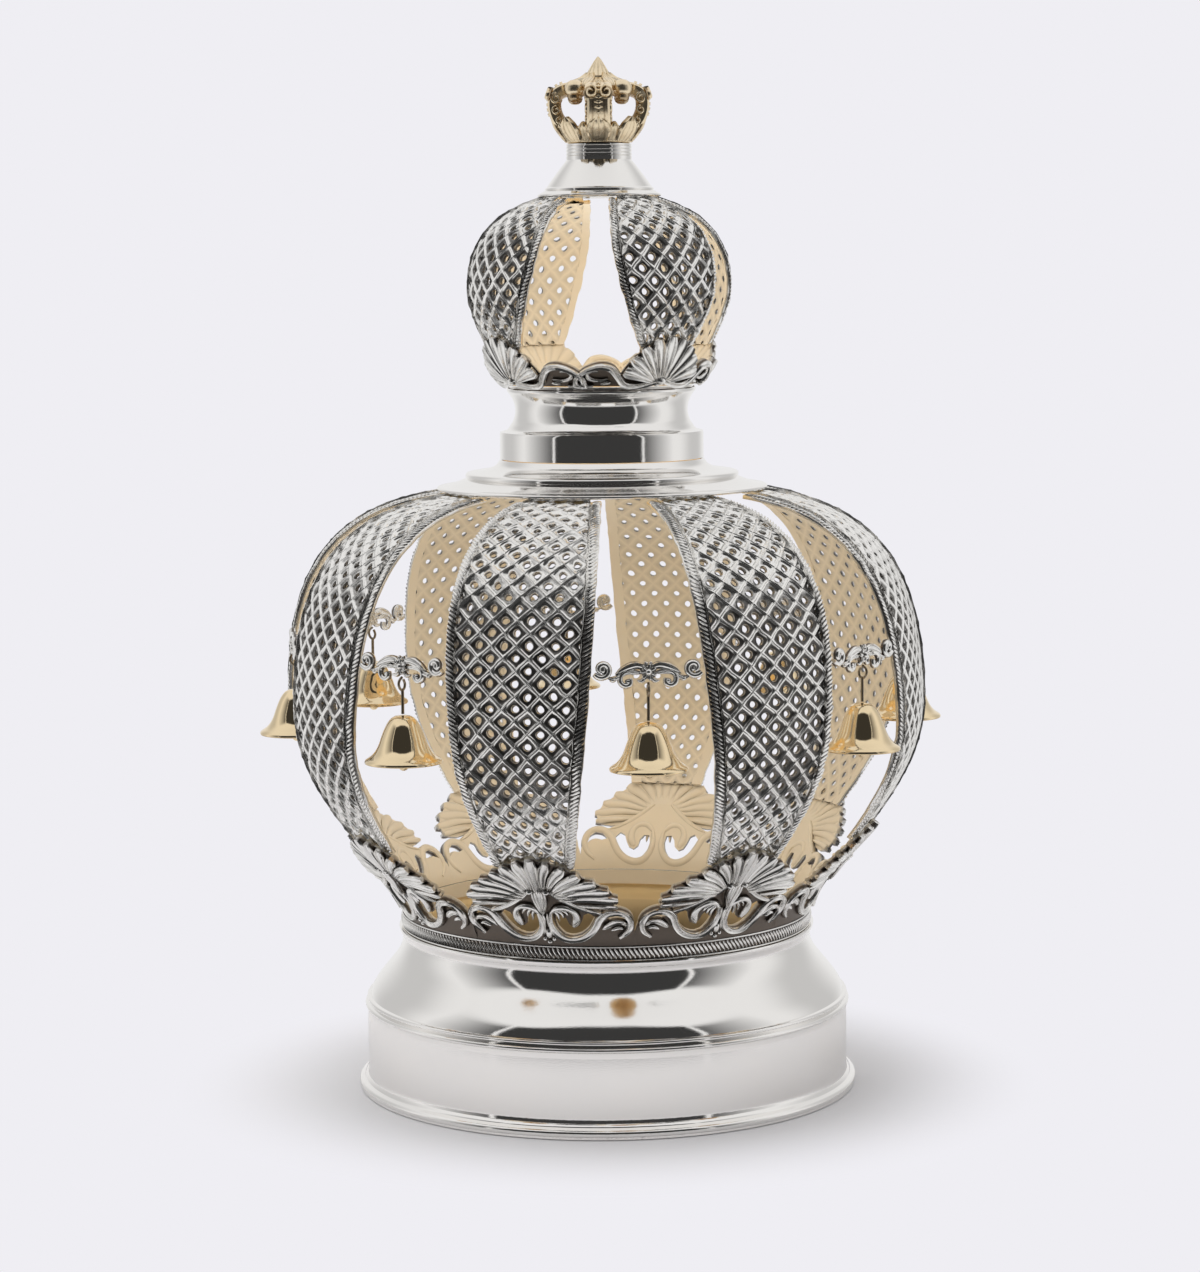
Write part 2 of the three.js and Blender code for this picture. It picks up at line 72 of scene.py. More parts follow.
def shape(points, faces, relief=1.0, inside=0.0, anchor=0.0):
    count = len(points)
    part = {
        "points": np.asarray(points, float).reshape(count, 3),
        "faces": [tuple(int(i) for i in face) for face in faces],
    }
    for key, value in zip(POINT_VALUES, (relief, inside, anchor)):
        part[key] = np.broadcast_to(np.asarray(value, float), (count,)).copy()
    return part


def linked(name, data):
    """A new object in the scene, of this mesh, lamp or camera."""
    piece = bpy.data.objects.new(name, data)
    bpy.context.scene.collection.objects.link(piece)
    return piece


def as_object(name, shapes):
    points, faces, start = [], [], 0
    for part in shapes:
        points.append(part["points"])
        faces += [tuple(i + start for i in face) for face in part["faces"]]
        start += len(part["points"])
    mesh = bpy.data.meshes.new(name)
    mesh.from_pydata((np.vstack(points) * MM).tolist(), [], faces)
    for key in POINT_VALUES:
        layer = mesh.attributes.new(key, "FLOAT", "POINT")
        layer.data.foreach_set("value", np.concatenate([part[key] for part in shapes]))
    return linked(name, mesh)


# %% Moving a shape
def turn_matrix(angle):
    c, s = math.cos(angle), math.sin(angle)
    return np.array([[c, s, 0], [-s, c, 0], [0, 0, 1]])


def moved(part, change):
    return {**part, "points": change(part["points"])}


def turned_by(part, angle):
    return moved(part, lambda p: p @ turn_matrix(angle))


def mirrored(part):
    faces = [face[::-1] for face in part["faces"]]
    return {**part, "points": part["points"] * [-1, 1, 1], "faces": faces}


# %% Faces between rings of points
def skin(rows, size, start=0):
    """Four-sided faces between rows of points, each row a closed ring of this size."""
    return [(start + i * size + k, start + (i + 1) * size + k,
             start + (i + 1) * size + (k + 1) % size, start + i * size + (k + 1) % size)
            for i in range(rows - 1) for k in range(size)]


def capped_skin(rows, size):
    """Faces over one first point, rings of points and one last point."""
    last = 1 + (rows - 1) * size
    first_cap = [(0, 1 + j, 1 + (j + 1) % size) for j in range(size)]
    last_cap = [(last + (j + 1) % size, last + j, last + size) for j in range(size)]
    return first_cap + skin(rows, size, 1) + last_cap


def flipped(faces):
    return [(face[0],) + tuple(face[:0:-1]) for face in faces]


def even_turns(count):
    return np.arange(count) * FULL_TURN / count


# %% [markdown]
# ## Turning on the lathe
# The foot, shoulder, neck, cap and bells are spun: one outline, turned about the upright axis.
# A Screw modifier could do it, but the inner face of each sheet is gilt, so the outline is
# turned here, where every point can say which side it is on. The outline runs up the outside and
# down the inside.

# %% Turn an outline
def turned(outline, segments, relief=1.0):
    """Turns (radius, height, gilt) points about the axis, as a closed skin."""
    points, rings, inside = [], [], []
    for radius, height, gilt in outline:
        angles = even_turns(segments) if radius > 0 else [0.0]
        rings.append([len(points) + j % len(angles) for j in range(segments)])
        points += [(radius * math.sin(a), -radius * math.cos(a), height) for a in angles]
        inside += [gilt] * len(angles)
    faces = []
    for low, high in zip(rings, rings[1:] + rings[:1]):
        for j in range(segments):
            k = (j + 1) % segments
            face = list(dict.fromkeys([low[j], low[k], high[k], high[j]]))
            if len(face) > 2:
                faces.append(face)
    return shape(points, faces, np.maximum(relief, inside), inside)


def curve_points(corners, count):
    """Points along a cubic curve with these four corner points, the first one left out."""
    t = np.linspace(0, 1, count + 1)[1:, None]
    a, b, c, d = [np.array(corner, float) for corner in corners]
    return (1 - t) ** 3 * a + 3 * (1 - t) ** 2 * t * b + 3 * (1 - t) * t * t * c + t ** 3 * d


def rolled_edge(centre, radius, start, end, count=8):
    """Part of a circle, in degrees from straight outwards, counted upwards."""
    angles = np.radians(np.linspace(start, end, count))
    return [(centre[0] + radius * math.cos(a), centre[1] + radius * math.sin(a)) for a in angles]


def trace(*steps, lift=0.0):
    """One line of (radius, height) points, from single points and rows of points."""
    line = []
    for step in steps:
        line += [step] if np.ndim(step) == 1 else list(step)
    return [(radius, height + lift) for radius, height in line]


def directions(line):
    """The direction of a line at each of its points."""
    along = np.gradient(np.array(line, float), axis=0)
    return along / np.linalg.norm(along, axis=1)[:, None]


def sheet(outer, thickness, foot=None, head=None):
    """The outline of a sheet: this outer line, and an inner line at an even distance."""
    along = directions(outer)
    inner = np.array(outer, float) + np.column_stack([-along[:, 1], along[:, 0]]) * thickness
    inner = inner[::-1]
    if head is not None:
        inner[0] = head
    if foot is not None:
        inner[-1] = foot
    return [(r, z, 0) for r, z in outer] + [(r, z, 1) for r, z in inner]


def heights(node):
    low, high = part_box(node)
    return low[2] / MM, high[2] / MM


# %% [markdown]
# ## The spun foot
# The foot stands on a rolled rim. Above it come an upright drum, two fine rolls and a long
# hollow curve up to the waist. Its polish shows every unevenness, so the turned mesh is fine.
# A rounded edge mirrors a whole room in a thin line, so a point or two stands close beside each
# edge and keeps the flat stretches flat.

# %% Foot
SHEET = 1.4
foot_low, foot_high = heights("foot")
foot_line = trace(
    (103.2, foot_low), (104.3, 0.15),
    rolled_edge((103.4, 2.4), 1.6, -60, 75),
    (102.6, 4.6), (102.3, 5.2), (101.3, 5.9), (101.0, 7.2), (101.0, 7.8), (101.0, 9.0),
    (101.0, 30.6), (101.0, 31.7), (101.0, 32.2), (101.1, 33.2),
    rolled_edge((100.9, 35.1), 1.1, -75, 75),
    (100.5, 36.6),
    rolled_edge((100.3, 37.8), 0.9, -60, 80),
    (99.6, 39.0),
    curve_points([(99.6, 39.0), (98.9, 42.6), (95.7, 46.1), (92.5, 50.0)], 14),
    curve_points([(92.5, 50.0), (90.2, 52.8), (86.2, 57.0), (85.8, 61.8)], 18),
    (85.8, 63.4), (86.0, 64.3), (86.6, 65.5), (87.1, 66.6), (87.2, 67.2), (87.2, foot_high),
)
foot_outline = sheet(foot_line, SHEET, foot=(101.6, foot_low), head=(84.4, foot_high))
foot_shape = turned(foot_outline, 168)
# Painted shade: the gilt inside the foot below 60 mm is darkened, more the lower it lies.
gilt_in_painted_shade = (foot_shape["inside"] > 0.5) & (foot_shape["points"][:, 2] < 60)
foot_shape["relief"][gilt_in_painted_shade] = np.clip((foot_shape["points"][gilt_in_painted_shade, 2] - 44) / 20, 0.25, 1)
print("foot turned with", len(foot_shape["faces"]), "faces")

# %% Shoulder, neck and cap
shoulder_low, shoulder_high = heights("shoulder")
shoulder_line = trace(
    (67.6, 0),
    rolled_edge((67.9, 0.8), 0.8, -70, 80, 7),
    (66.6, 1.75),
    curve_points([(66.6, 1.75), (63.5, 2.2), (59.6, 3.4), (57.6, 4.5)], 8),
    rolled_edge((55.6, 6.1), 1.2, -60, 80, 8),
    (54.4, 7.5),
    curve_points([(54.4, 7.5), (49.5, 8.0), (44.2, 8.8), (43.0, 11.6)], 10),
    (42.3, shoulder_high - shoulder_low),
    lift=shoulder_low,
)
shoulder_shape = turned(sheet(shoulder_line, SHEET, head=(39.5, shoulder_high)), 144)

neck_low, neck_high = heights("neck")
neck_line = trace(
    (42.3, 0), (42.3, 0.5), (42.3, 9.6), (42.3, 10.4), (42.0, 11.1), (41.2, 11.3),
    curve_points([(41.2, 11.3), (38.6, 11.6), (38.6, 13.0), (36.9, 15.2)], 8),
    curve_points([(36.9, 15.2), (35.2, 19.0), (35.4, 22.6), (37.9, 26.4)], 12),
    rolled_edge((37.9, 28.4), 1.3, -60, 70, 7),
    (39.2, neck_high - neck_low),
    lift=neck_low,
)
neck_shape = turned(sheet(neck_line, SHEET, head=(36.4, neck_high)), 128)

cap_low, cap_high = heights("cap")
cap_tall = cap_high - cap_low
grooves = [[(13.5, z), (13.5, z + 0.8), (13.1, z + 1.0)] for z in (15.6, 16.8, 18.2, 19.6)]
cap_line = trace(
    (25.2, 0),
    rolled_edge((25.1, 0.5), 0.5, -60, 70, 6),
    (24.2, 1.5), (22.6, 2.4),
    rolled_edge((22.0, 3.0), 0.5, -60, 70, 6),
    (21.8, 3.7),
    curve_points([(21.8, 3.7), (20.3, 6.0), (16.2, 11.6), (13.4, 14.9)], 16),
    *grooves,
    (13.6, cap_tall - 0.6), (13.4, cap_tall),
    lift=cap_low,
)
cap_outline = sheet(cap_line, SHEET)
middle = len(cap_line)
cap_outline[middle] = (11.8, cap_high - SHEET, 1)
cap_outline[middle:middle] = [(0, cap_high, 0), (0, cap_high - SHEET, 1)]
cap_outline = [(r, z, gilt if z > cap_low + 4 else 0) for r, z, gilt in cap_outline]
cap_shape = turned(cap_outline, 96)


# %% [markdown]
# ## Chased relief
# A scroll or petal is a bar whose section is drawn once and carried along a line, thinning
# towards its tip. Three sections are enough: a round one, a channelled one for the ribbons, and
# a petal with raised rims and a soft vein. The ornament is laid out flat first, with x across,
# y up and z out of the metal, because that is how a chaser draws it.

# %% Carry a section along a line
ROUND = [(-1, 0, 0.05), (-0.87, 0.5, 0.5), (-0.5, 0.87, 0.95), (0, 1, 1), (0.5, 0.87, 0.95),
         (0.87, 0.5, 0.5), (1, 0, 0.05)]
CHANNEL = [(-1, 0, 0.0), (-0.92, 0.72, 0.7), (-0.7, 1, 1), (-0.35, 0.66, 0.6), (0, 0.6, 0.5),
           (0.35, 0.66, 0.6), (0.7, 1, 1), (0.92, 0.72, 0.7), (1, 0, 0.0)]
PETAL = [(-1, 0, 0.0), (-0.92, 0.62, 0.6), (-0.76, 1, 1), (-0.5, 0.62, 0.45), (-0.12, 0.9, 0.85),
         (0.12, 0.9, 0.85), (0.5, 0.62, 0.45), (0.76, 1, 1), (0.92, 0.62, 0.6), (1, 0, 0.0)]


def smooth_line(corners, count):
    """An even line of points on a smooth curve through the corners."""
    p = np.array(corners, float)
    if len(p) > 2:
        padded = np.vstack([2 * p[0] - p[1], p, 2 * p[-1] - p[-2]])
        t = np.linspace(0, 1, 9)[:-1, None]
        pieces = []
        for a, b, c, d in zip(padded, padded[1:], padded[2:], padded[3:]):
            pieces.append(0.5 * (2 * b + (c - a) * t + (2 * a - 5 * b + 4 * c - d) * t ** 2
                                 + (3 * b - a - 3 * c + d) * t ** 3))
        p = np.vstack(pieces + [p[-1:]])
    run = np.r_[0, np.cumsum(np.linalg.norm(np.diff(p, axis=0), axis=1))]
    even = np.linspace(0, run[-1], count)
    return np.column_stack([np.interp(even, run, p[:, i]) for i in range(p.shape[1])])


BACK_OF_BAR = [(0.95, -0.8, 0.8), (0.4, -1, 1), (-0.4, -1, 1), (-0.95, -0.8, 0.8)]


def carried(centres, sides, ups, widths, rises, section, under):
    """A closed bar: the section carried along the centres, rounded below by the depth under."""
    ring = list(section) + BACK_OF_BAR
    count, size = len(centres), len(ring)
    points = np.zeros((count, size, 3))
    for k, (u, v, _) in enumerate(ring):
        rise = rises * v if v >= 0 else np.full(count, float(under) * v)
        points[:, k] = centres + sides * (widths * u)[:, None] + ups * rise[:, None]
    ends = [range(size), range(count * size - 1, (count - 1) * size - 1, -1)]
    relief = np.tile([shade for _, _, shade in ring], count)
    gilt = np.tile([0.0] * len(section) + [1.0] * len(BACK_OF_BAR), count)
    return shape(points.reshape(-1, 3), skin(count, size) + ends, relief, gilt)


def eased_end(share, left):
    """Runs from the share left at a bar's end to 1, within a fifth of the bar's length."""
    return left + (1 - left) * np.sin(np.minimum(share * 5, 1) * math.pi / 2)


def strip(corners, width, rise, section=ROUND, base=0.0, under=1.2, count=16, ends=(0.3, 0.3)):
    """A flat bar along a line. Width is one number or (start, middle, end); ends are the shares
    of the width that are left at its two ends."""
    line = smooth_line(corners, count)
    t = np.linspace(0, 1, count)
    along = directions(line[:, :2])
    sides = np.column_stack([-along[:, 1], along[:, 0], np.zeros(count)])
    width = np.interp(t, [0, 0.5, 1], width) if np.ndim(width) else np.full(count, float(width))
    taper = np.minimum(1, np.minimum(eased_end(t, ends[0]), eased_end(1 - t, ends[1])))
    base = np.interp(t, [0, 1], base) if np.ndim(base) else np.full(count, float(base))
    centres = np.column_stack([line[:, :2], base])
    ups = np.tile([0.0, 0.0, 1.0], (count, 1))
    rises = rise * (0.45 + 0.55 * taper)
    return carried(centres, sides, ups, width * taper, rises, section, under)


def coil(centre, start, end, turns, angle, width, rise, base=0.0, count=26):
    """A volute: a bar that winds from the radius start in to the radius end."""
    t = np.linspace(0, 1, count)
    a = math.radians(angle) + t * turns * FULL_TURN
    r = start + (end - start) * t ** 0.8
    line = np.column_stack([centre[0] + r * np.cos(a), centre[1] + r * np.sin(a)])
    return strip(line, width, rise, ROUND, base, 1.2, count, (0.8, 0.7))


def boss(centre, radii, rise, base=0.0, relief=1.0, rings=4, spokes=10):
    """A low rounded button on a flat foot."""
    x, y = centre
    points = [(x, y, base + rise)]
    for i in range(1, rings + 1):
        tilt = i / rings * math.pi / 2
        points += [(x + radii[0] * math.sin(tilt) * math.cos(a),
                    y + radii[1] * math.sin(tilt) * math.sin(a),
                    base + rise * math.cos(tilt)) for a in even_turns(spokes)]
    points.append((x, y, base - 0.6))
    shade = np.r_[relief, np.repeat(np.linspace(relief, 0.1, rings), spokes), 0.0]
    return shape(points, capped_skin(rings, spokes), shade)


# %% [markdown]
# ## The pierced ground behind the scrolls
# Behind the scrolls lies a dark plate with sawn holes. Its outline and holes are drawn as
# polygons. A triangulation with an even net of points inside keeps the triangles small, because
# large flat ones would cut the corner when the plate is bent round the dome.

# %% A plate with holes
def inside_polygon(points, polygon):
    x, y = points[:, 0], points[:, 1]
    odd = np.zeros(len(points), bool)
    for (x0, y0), (x1, y1) in zip(polygon, np.roll(polygon, -1, axis=0)):
        crosses = (y0 > y) != (y1 > y)
        edge = x0 + (y - y0) * (x1 - x0) / (y1 - y0 if y1 != y0 else 1e-9)
        odd ^= crosses & (x < edge)
    return odd


def ellipse(centre, radii, count=14, lean=0.0):
    a = even_turns(count)
    x, y = radii[0] * np.cos(a), radii[1] * np.sin(a)
    c, s = math.cos(math.radians(lean)), math.sin(math.radians(lean))
    return np.column_stack([centre[0] + x * c - y * s, centre[1] + x * s + y * c])


def plate(outline, holes, net=2.6, top=0.0, bottom=-SHEET, relief=0.0, gilt=1.0):
    loops = [np.array(outline, float)] + [np.array(hole, float) for hole in holes]
    low, high = loops[0].min(axis=0), loops[0].max(axis=0)
    grid = np.stack(np.meshgrid(np.arange(low[0], high[0], net), np.arange(low[1], high[1], net)),
                    -1).reshape(-1, 2)
    keep = inside_polygon(grid, loops[0])
    for hole in loops[1:]:
        centre = hole.mean(axis=0)
        keep &= ~inside_polygon(grid, centre + (hole - centre) * 1.25)
    loop_points = np.vstack(loops)
    gaps = np.linalg.norm(grid[:, None] - loop_points[None], axis=2).min(axis=1)
    grid = grid[keep & (gaps > net * 0.45)]
    edges, start = [], 0
    for loop in loops:
        edges += [(start + i, start + (i + 1) % len(loop)) for i in range(len(loop))]
        start += len(loop)
    flat = np.vstack([loop_points, grid])
    made = delaunay_2d_cdt([tuple(p) for p in flat], edges, [], 0, 1e-4)
    points, triangles = np.array([tuple(p) for p in made[0]]), made[2]
    middles = np.array([points[list(face)].mean(axis=0) for face in triangles])
    keep = inside_polygon(middles, loops[0])
    for hole in loops[1:]:
        keep &= ~inside_polygon(middles, hole)
    kept = []
    for face, good in zip(triangles, keep):
        if good:
            a, b, c = points[list(face)]
            left = (b[0] - a[0]) * (c[1] - a[1]) - (b[1] - a[1]) * (c[0] - a[0])
            kept.append(tuple(face) if left > 0 else tuple(face)[::-1])
    count = len(points)
    used = {}
    for face in kept:
        for a, b in zip(face, face[1:] + face[:1]):
            used[(a, b)] = used.get((a, b), 0) + 1
    rims = [edge for edge in used if (edge[1], edge[0]) not in used]
    faces = kept + [tuple(i + count for i in face[::-1]) for face in kept]
    faces += [(b, a, a + count, b + count) for a, b in rims]
    both = np.vstack([np.column_stack([points, np.full(count, top)]),
                      np.column_stack([points, np.full(count, bottom)])])
    return shape(both, faces, np.repeat([relief, 1.0], count), np.repeat([0.0, gilt], count))


# %% [markdown]
# ## The palmette of the gallery
# Eight palmettes ring the foot of the dome. Each has a fan of grooved lobes over a veined heart,
# and a pair of channelled ribbons that run from a C-scroll at the heart to a loop at the edge.
# Only the left half is drawn; the right half is its mirror image.

# %% One palmette, laid out flat
def pair(*shapes):
    return [part for one in shapes for part in (one, mirrored(one))]


ribbon = [(-27.6, 4.0), (-31.5, 7.4), (-33.2, 12.0), (-32.2, 16.0), (-28.9, 18.0), (-24.8, 17.3),
          (-21.5, 14.4),
          (-19.3, 10.2), (-16.9, 6.7), (-13.5, 4.1), (-9.3, 3.0), (-5.5, 4.1), (-2.8, 7.6),
          (-1.9, 12.2), (-2.7, 17.9)]
lobes = [
    ((-2.2, 30.5), (-6.2, 48.4), 2.8), ((-3.4, 30.8), (-12.2, 45.6), 2.9),
    ((-4.6, 30.0), (-17.8, 41.6), 2.9),
    ((-5.8, 29.0), (-23.2, 37.2), 2.8), ((-6.6, 27.8), (-27.8, 32.4), 2.7),
    ((-7.4, 26.2), (-30.6, 27.4), 2.4),
    ((-14.5, 23.4), (-29.6, 22.8), 1.7),
]
palmette = [strip([(0, 29.5), (0, 50.0)], (1.2, 2.1, 3.1), 1.7, PETAL, (1.3, 2.7), 2.4, 16,
                  (0.6, 0.6))]
for number, (base, tip, width) in enumerate(lobes):
    bow = np.array([tip[1] - base[1], base[0] - tip[0]]) * 0.05
    midway = (np.array(base) + tip) / 2 + bow * (1 if number < 6 else 0.3)
    palmette += pair(strip([base, tuple(midway), tip], (0.8, width * 0.68, width), 1.7, PETAL,
                           (1.2, 2.6 if number < 6 else 1.6), 2.3, 16, (0.6, 0.5)))
palmette += pair(
    strip(ribbon, (1.3, 1.7, 1.5), 1.7, CHANNEL, 0.6, 2.5, 64, (0.5, 0.4)),
    strip([(-2.6, 17.1), (-5.3, 20.0), (-9.0, 20.3), (-11.7, 17.8), (-12.2, 13.8), (-10.6, 9.8)],
          (1.5, 1.3, 2.1), 1.6, ROUND, 0.5, 2.4, 24, (0.5, 0.45)),
    strip([(-4.0, 31.0), (-8.9, 26.2), (-13.2, 22.6), (-18.0, 19.7), (-22.5, 18.0)],
          (1.3, 1.2, 1.1), 1.5, CHANNEL, 1.0, 2.8, 24, (0.6, 0.4)),
    strip([(-21.6, 8.4), (-24.2, 10.6), (-27.6, 12.4), (-30.4, 11.9), (-31.2, 9.9)],
          (1.0, 1.5, 0.9), 1.3, PETAL, 0.4, 1.0, 18, (0.3, 0.4)),
    strip([(-25.0, 7.4), (-28.0, 8.6), (-30.2, 8.2)], (0.7, 1.0, 0.6), 1.0, ROUND, 0.3, 0.8, 10),
    strip([(-1.0, 16.9), (-0.55, 13.1), (-1.0, 9.0), (-2.0, 5.0)], (0.5, 0.45, 0.6), 1.3, ROUND,
          0.6, 1.2, 14),
)
for step in range(4):
    palmette += pair(strip([(-3.4 - 0.8 * step, 19.6 + 0.6 * step),
                            (-5.0 - 1.6 * step, 16.4 + 1.0 * step),
                            (-5.4 - 2.0 * step, 12.6 + 1.6 * step)],
                           (0.6, 0.7, 0.35), 1.2, ROUND, 0.5, 0.8, 10, (0.4, 0.2)))
palmette.append(strip([(0, 31.4), (0, 24.5), (0, 17.6)], (3.4, 2.8, 0.5), 1.3, PETAL, 1.6, 2.6, 16,
                      (0.5, 0.3)))
for across, width in ((-1.3, 0.6), (-2.5, 0.5)):
    palmette += pair(strip([(across, 31.2), (across * 0.9, 25.5), (across * 0.25, 18.8)],
                           (width, width, 0.3),
                           1.0, ROUND, 2.4, 0.9, 12))
palmette += pair(boss((-3.3, 31.4), (1.5, 1.2), 1.6, 2.4))
palmette += [boss((0, 5.6), (1.5, 2.6), 1.4, 0.4), boss((0, 1.6), (1.1, 0.9), 1.0, 0.4)]
palmette += pair(boss((-1.9, 3.0), (0.9, 1.2), 1.1, 0.4))

ground_left = [(-34.3, 0.0), (-34.3, 8.6), (-33.9, 12.6), (-32.6, 16.4), (-29.0, 18.6),
               (-24.6, 18.2), (-22.0, 18.6),
               (-16.0, 21.6), (-9.0, 26.4), (-6.0, 30.5), (0.0, 31.0)]
ground = ground_left + [(-x, y) for x, y in ground_left[-2::-1]]
ground_low = [(x, 0.0) for x in np.linspace(34.3, -34.3, 24)[1:-1]]
scroll_hole = [(-19.6, 13.9), (-18.4, 10.4), (-16.4, 7.8), (-13.2, 5.4), (-9.6, 4.3), (-6.3, 5.2),
               (-4.0, 8.2), (-3.3, 11.6),
               (-4.0, 15.0), (-6.4, 15.2), (-8.0, 13.0), (-8.6, 10.0), (-10.4, 8.4), (-12.6, 9.4),
               (-14.0, 12.0), (-15.2, 15.2),
               (-17.4, 16.4)]
loop_hole = [(-31.8, 11.4), (-31.0, 14.8), (-28.6, 16.6), (-25.4, 16.0), (-23.0, 13.4),
             (-25.6, 12.6), (-28.4, 13.4), (-30.4, 12.4)]
left_holes = [np.array(hole) for hole in (scroll_hole, loop_hole)]
palmette.append(plate(ground + ground_low, left_holes + [hole * [-1, 1] for hole in left_holes]))
fan_left = [(-7.0, 23.6), (-14.0, 21.8), (-22.0, 20.6), (-28.4, 21.8), (-29.8, 27.0), (-27.4, 32.0),
            (-22.6, 36.4), (-17.0, 40.8),
            (-11.8, 44.6), (-5.9, 47.2), (0.0, 48.6)]
fan = plate(fan_left + [(-x, y) for x, y in fan_left[-2::-1]], [], top=0.0, bottom=-1.2,
            relief=0.12)
rise = np.clip((np.hypot(fan["points"][:, 0], fan["points"][:, 1] - 26) - 5) / 11, 0, 1)
fan["points"][:, 2] += 1.8 * rise * rise * (3 - 2 * rise)
palmette.append(fan)
print("one palmette:", sum(len(part["faces"]) for part in palmette), "faces")


# %% [markdown]
# ## The line of each dome
# Both domes are one curve turned about the axis. A flat ornament is laid on the dome by reading
# its height as a length along this curve. The curve is kept as a small line object, so that a
# node tree can sample it.

# %% The two dome lines
def dome_line(foot, foot_handle, under_handle, widest, over_handle, top_handle, top):
    lower = curve_points([foot, foot_handle, under_handle, widest], 90)
    upper = curve_points([widest, over_handle, top_handle, top], 90)
    return np.vstack([[foot], lower, upper])


gallery_low = heights("gallery")[0]
slope = math.radians(7)
main_line = dome_line(
    (85.8, gallery_low), (85.8, gallery_low + 16.72), (132.7, gallery_low + 48.4),
    (132.7, gallery_low + 88),
    (132.7, gallery_low + 148.03), (65.7 + 42.88 * math.cos(slope),
                                    gallery_low + 175 - 42.88 * math.sin(slope)),
    (65.7, gallery_low + 175),
)
upper_low = heights("upper_gallery")[0]
lean, slope = math.radians(65), math.radians(18.6)
upper_line = dome_line(
    (39.2, upper_low), (39.2 + 7.77 * math.sin(lean), upper_low + 7.77 * math.cos(lean)),
    (54.8, upper_low + 30.71),
    (54.8, upper_low + 37), (54.8, upper_low + 65.95),
    (24 + 10.78 * math.cos(slope), upper_low + 75.6 - 10.78 * math.sin(slope)),
    (24, upper_low + 75.6),
)


def line_object(name, line):
    mesh = bpy.data.meshes.new(name)
    mesh.from_pydata([(r * MM, 0, z * MM) for r, z in line],
                     [(i, i + 1) for i in range(len(line) - 1)], [])
    return linked(name, mesh)


def run_of(line):
    return np.r_[0, np.cumsum(np.linalg.norm(np.diff(line, axis=0), axis=1))]


main_guide = line_object("main_dome_line", main_line)
upper_guide = line_object("upper_dome_line", upper_line)
print("length of the dome lines in mm:", [round(run_of(line)[-1], 1)
                                          for line in (main_line, upper_line)])


# %% [markdown]
# ## Short words for node trees
# A node tree made in a script is mostly "add a node, set it, link it". A few helpers keep that to
# one line a node. Sums are written as sums: a field stands for one number in a tree, and plus,
# minus, times and the rest add the maths node that does it.

# %% Nodes and links
def plug(tree, node, values):
    """Sets a node's inputs to plain values, or links them to fields, sockets or nodes."""
    for socket, value in values.items():
        if isinstance(value, Field):
            value = value.socket
        if isinstance(value, bpy.types.Node):
            value = value.outputs[0]
        if isinstance(value, bpy.types.NodeSocket):
            tree.links.new(value, node.inputs[socket])
        else:
            node.inputs[socket].default_value = value
    return node


def add_node(tree, kind, values=None, **settings):
    node = tree.nodes.new(kind)
    for key, value in settings.items():
        setattr(node, key, value)
    return plug(tree, node, values or {})


def add_field(tree, kind, values=None, output=0, **settings):
    return Field(tree, add_node(tree, kind, values, **settings).outputs[output])


def maths(tree, operation, *terms):
    return add_field(tree, "ShaderNodeMath", dict(enumerate(terms)), operation=operation)


# %% Sums written as sums
class Field:
    """One number in a node tree. A sum with it adds the maths node that works it out."""

    def __init__(self, tree, socket):
        self.tree, self.socket = tree, socket

    def does(self, operation, *others):
        return maths(self.tree, operation, self, *others)

    def __add__(self, other):
        return self.does("ADD", other)

    def __sub__(self, other):
        return self.does("SUBTRACT", other)

    def __rsub__(self, other):
        return maths(self.tree, "SUBTRACT", other, self)

    def __mul__(self, other):
        return self.does("MULTIPLY", other)

    def __truediv__(self, other):
        return self.does("DIVIDE", other)

    def __gt__(self, other):
        return self.does("GREATER_THAN", other)

    def __abs__(self):
        return self.does("ABSOLUTE")


def split(tree, vector):
    """The three parts of a vector."""
    parts = add_node(tree, "ShaderNodeSeparateXYZ", {0: vector}).outputs
    return [Field(tree, part) for part in parts]


def vector(tree, x=0.0, y=0.0, z=0.0):
    return add_field(tree, "ShaderNodeCombineXYZ", {0: x, 1: y, 2: z})


def ramp(tree, value, low, high, first=0.0, last=1.0, soft=True):
    """Runs from first to last while the value runs from low to high."""
    return add_field(tree, "ShaderNodeMapRange", {
        "Value": value, "From Min": low, "From Max": high, "To Min": first, "To Max": last,
    }, interpolation_type="SMOOTHSTEP" if soft else "LINEAR")


# %% A tree with named sockets, and the run of a tree on an object
def new_tree(name, kind, inputs, outputs):
    """A node group, and the fields that its named inputs bring in."""
    tree = bpy.data.node_groups.new(name, kind + "NodeTree")
    for in_out, sockets in (("OUTPUT", outputs), ("INPUT", inputs)):
        for label, socket_kind in sockets.items():
            tree.interface.new_socket(label, in_out=in_out, socket_type="NodeSocket" + socket_kind)
    brought_in = tree.nodes.new("NodeGroupInput").outputs
    return tree, {socket.name: Field(tree, socket) for socket in brought_in}


def geometry_tree(name, inputs):
    geometry = {"Geometry": "Geometry"}
    return new_tree(name, "Geometry", {**geometry, **inputs}, geometry)


def together(tree, *parts):
    joined = add_node(tree, "GeometryNodeJoinGeometry")
    for part in parts:
        plug(tree, joined, {0: part})
    return joined


def shape_of(tree, source):
    """The shape of an object that is given to a tree."""
    return add_node(tree, "GeometryNodeObjectInfo", {"Object": source}).outputs["Geometry"]


def finish_tree(tree, geometry, finish):
    """Makes instances real, sets the material and puts the shape out."""
    real = add_node(tree, "GeometryNodeRealizeInstances", {"Geometry": geometry})
    coated = add_node(tree, "GeometryNodeSetMaterial", {"Geometry": real, "Material": finish})
    add_node(tree, "NodeGroupOutput", {"Geometry": coated})


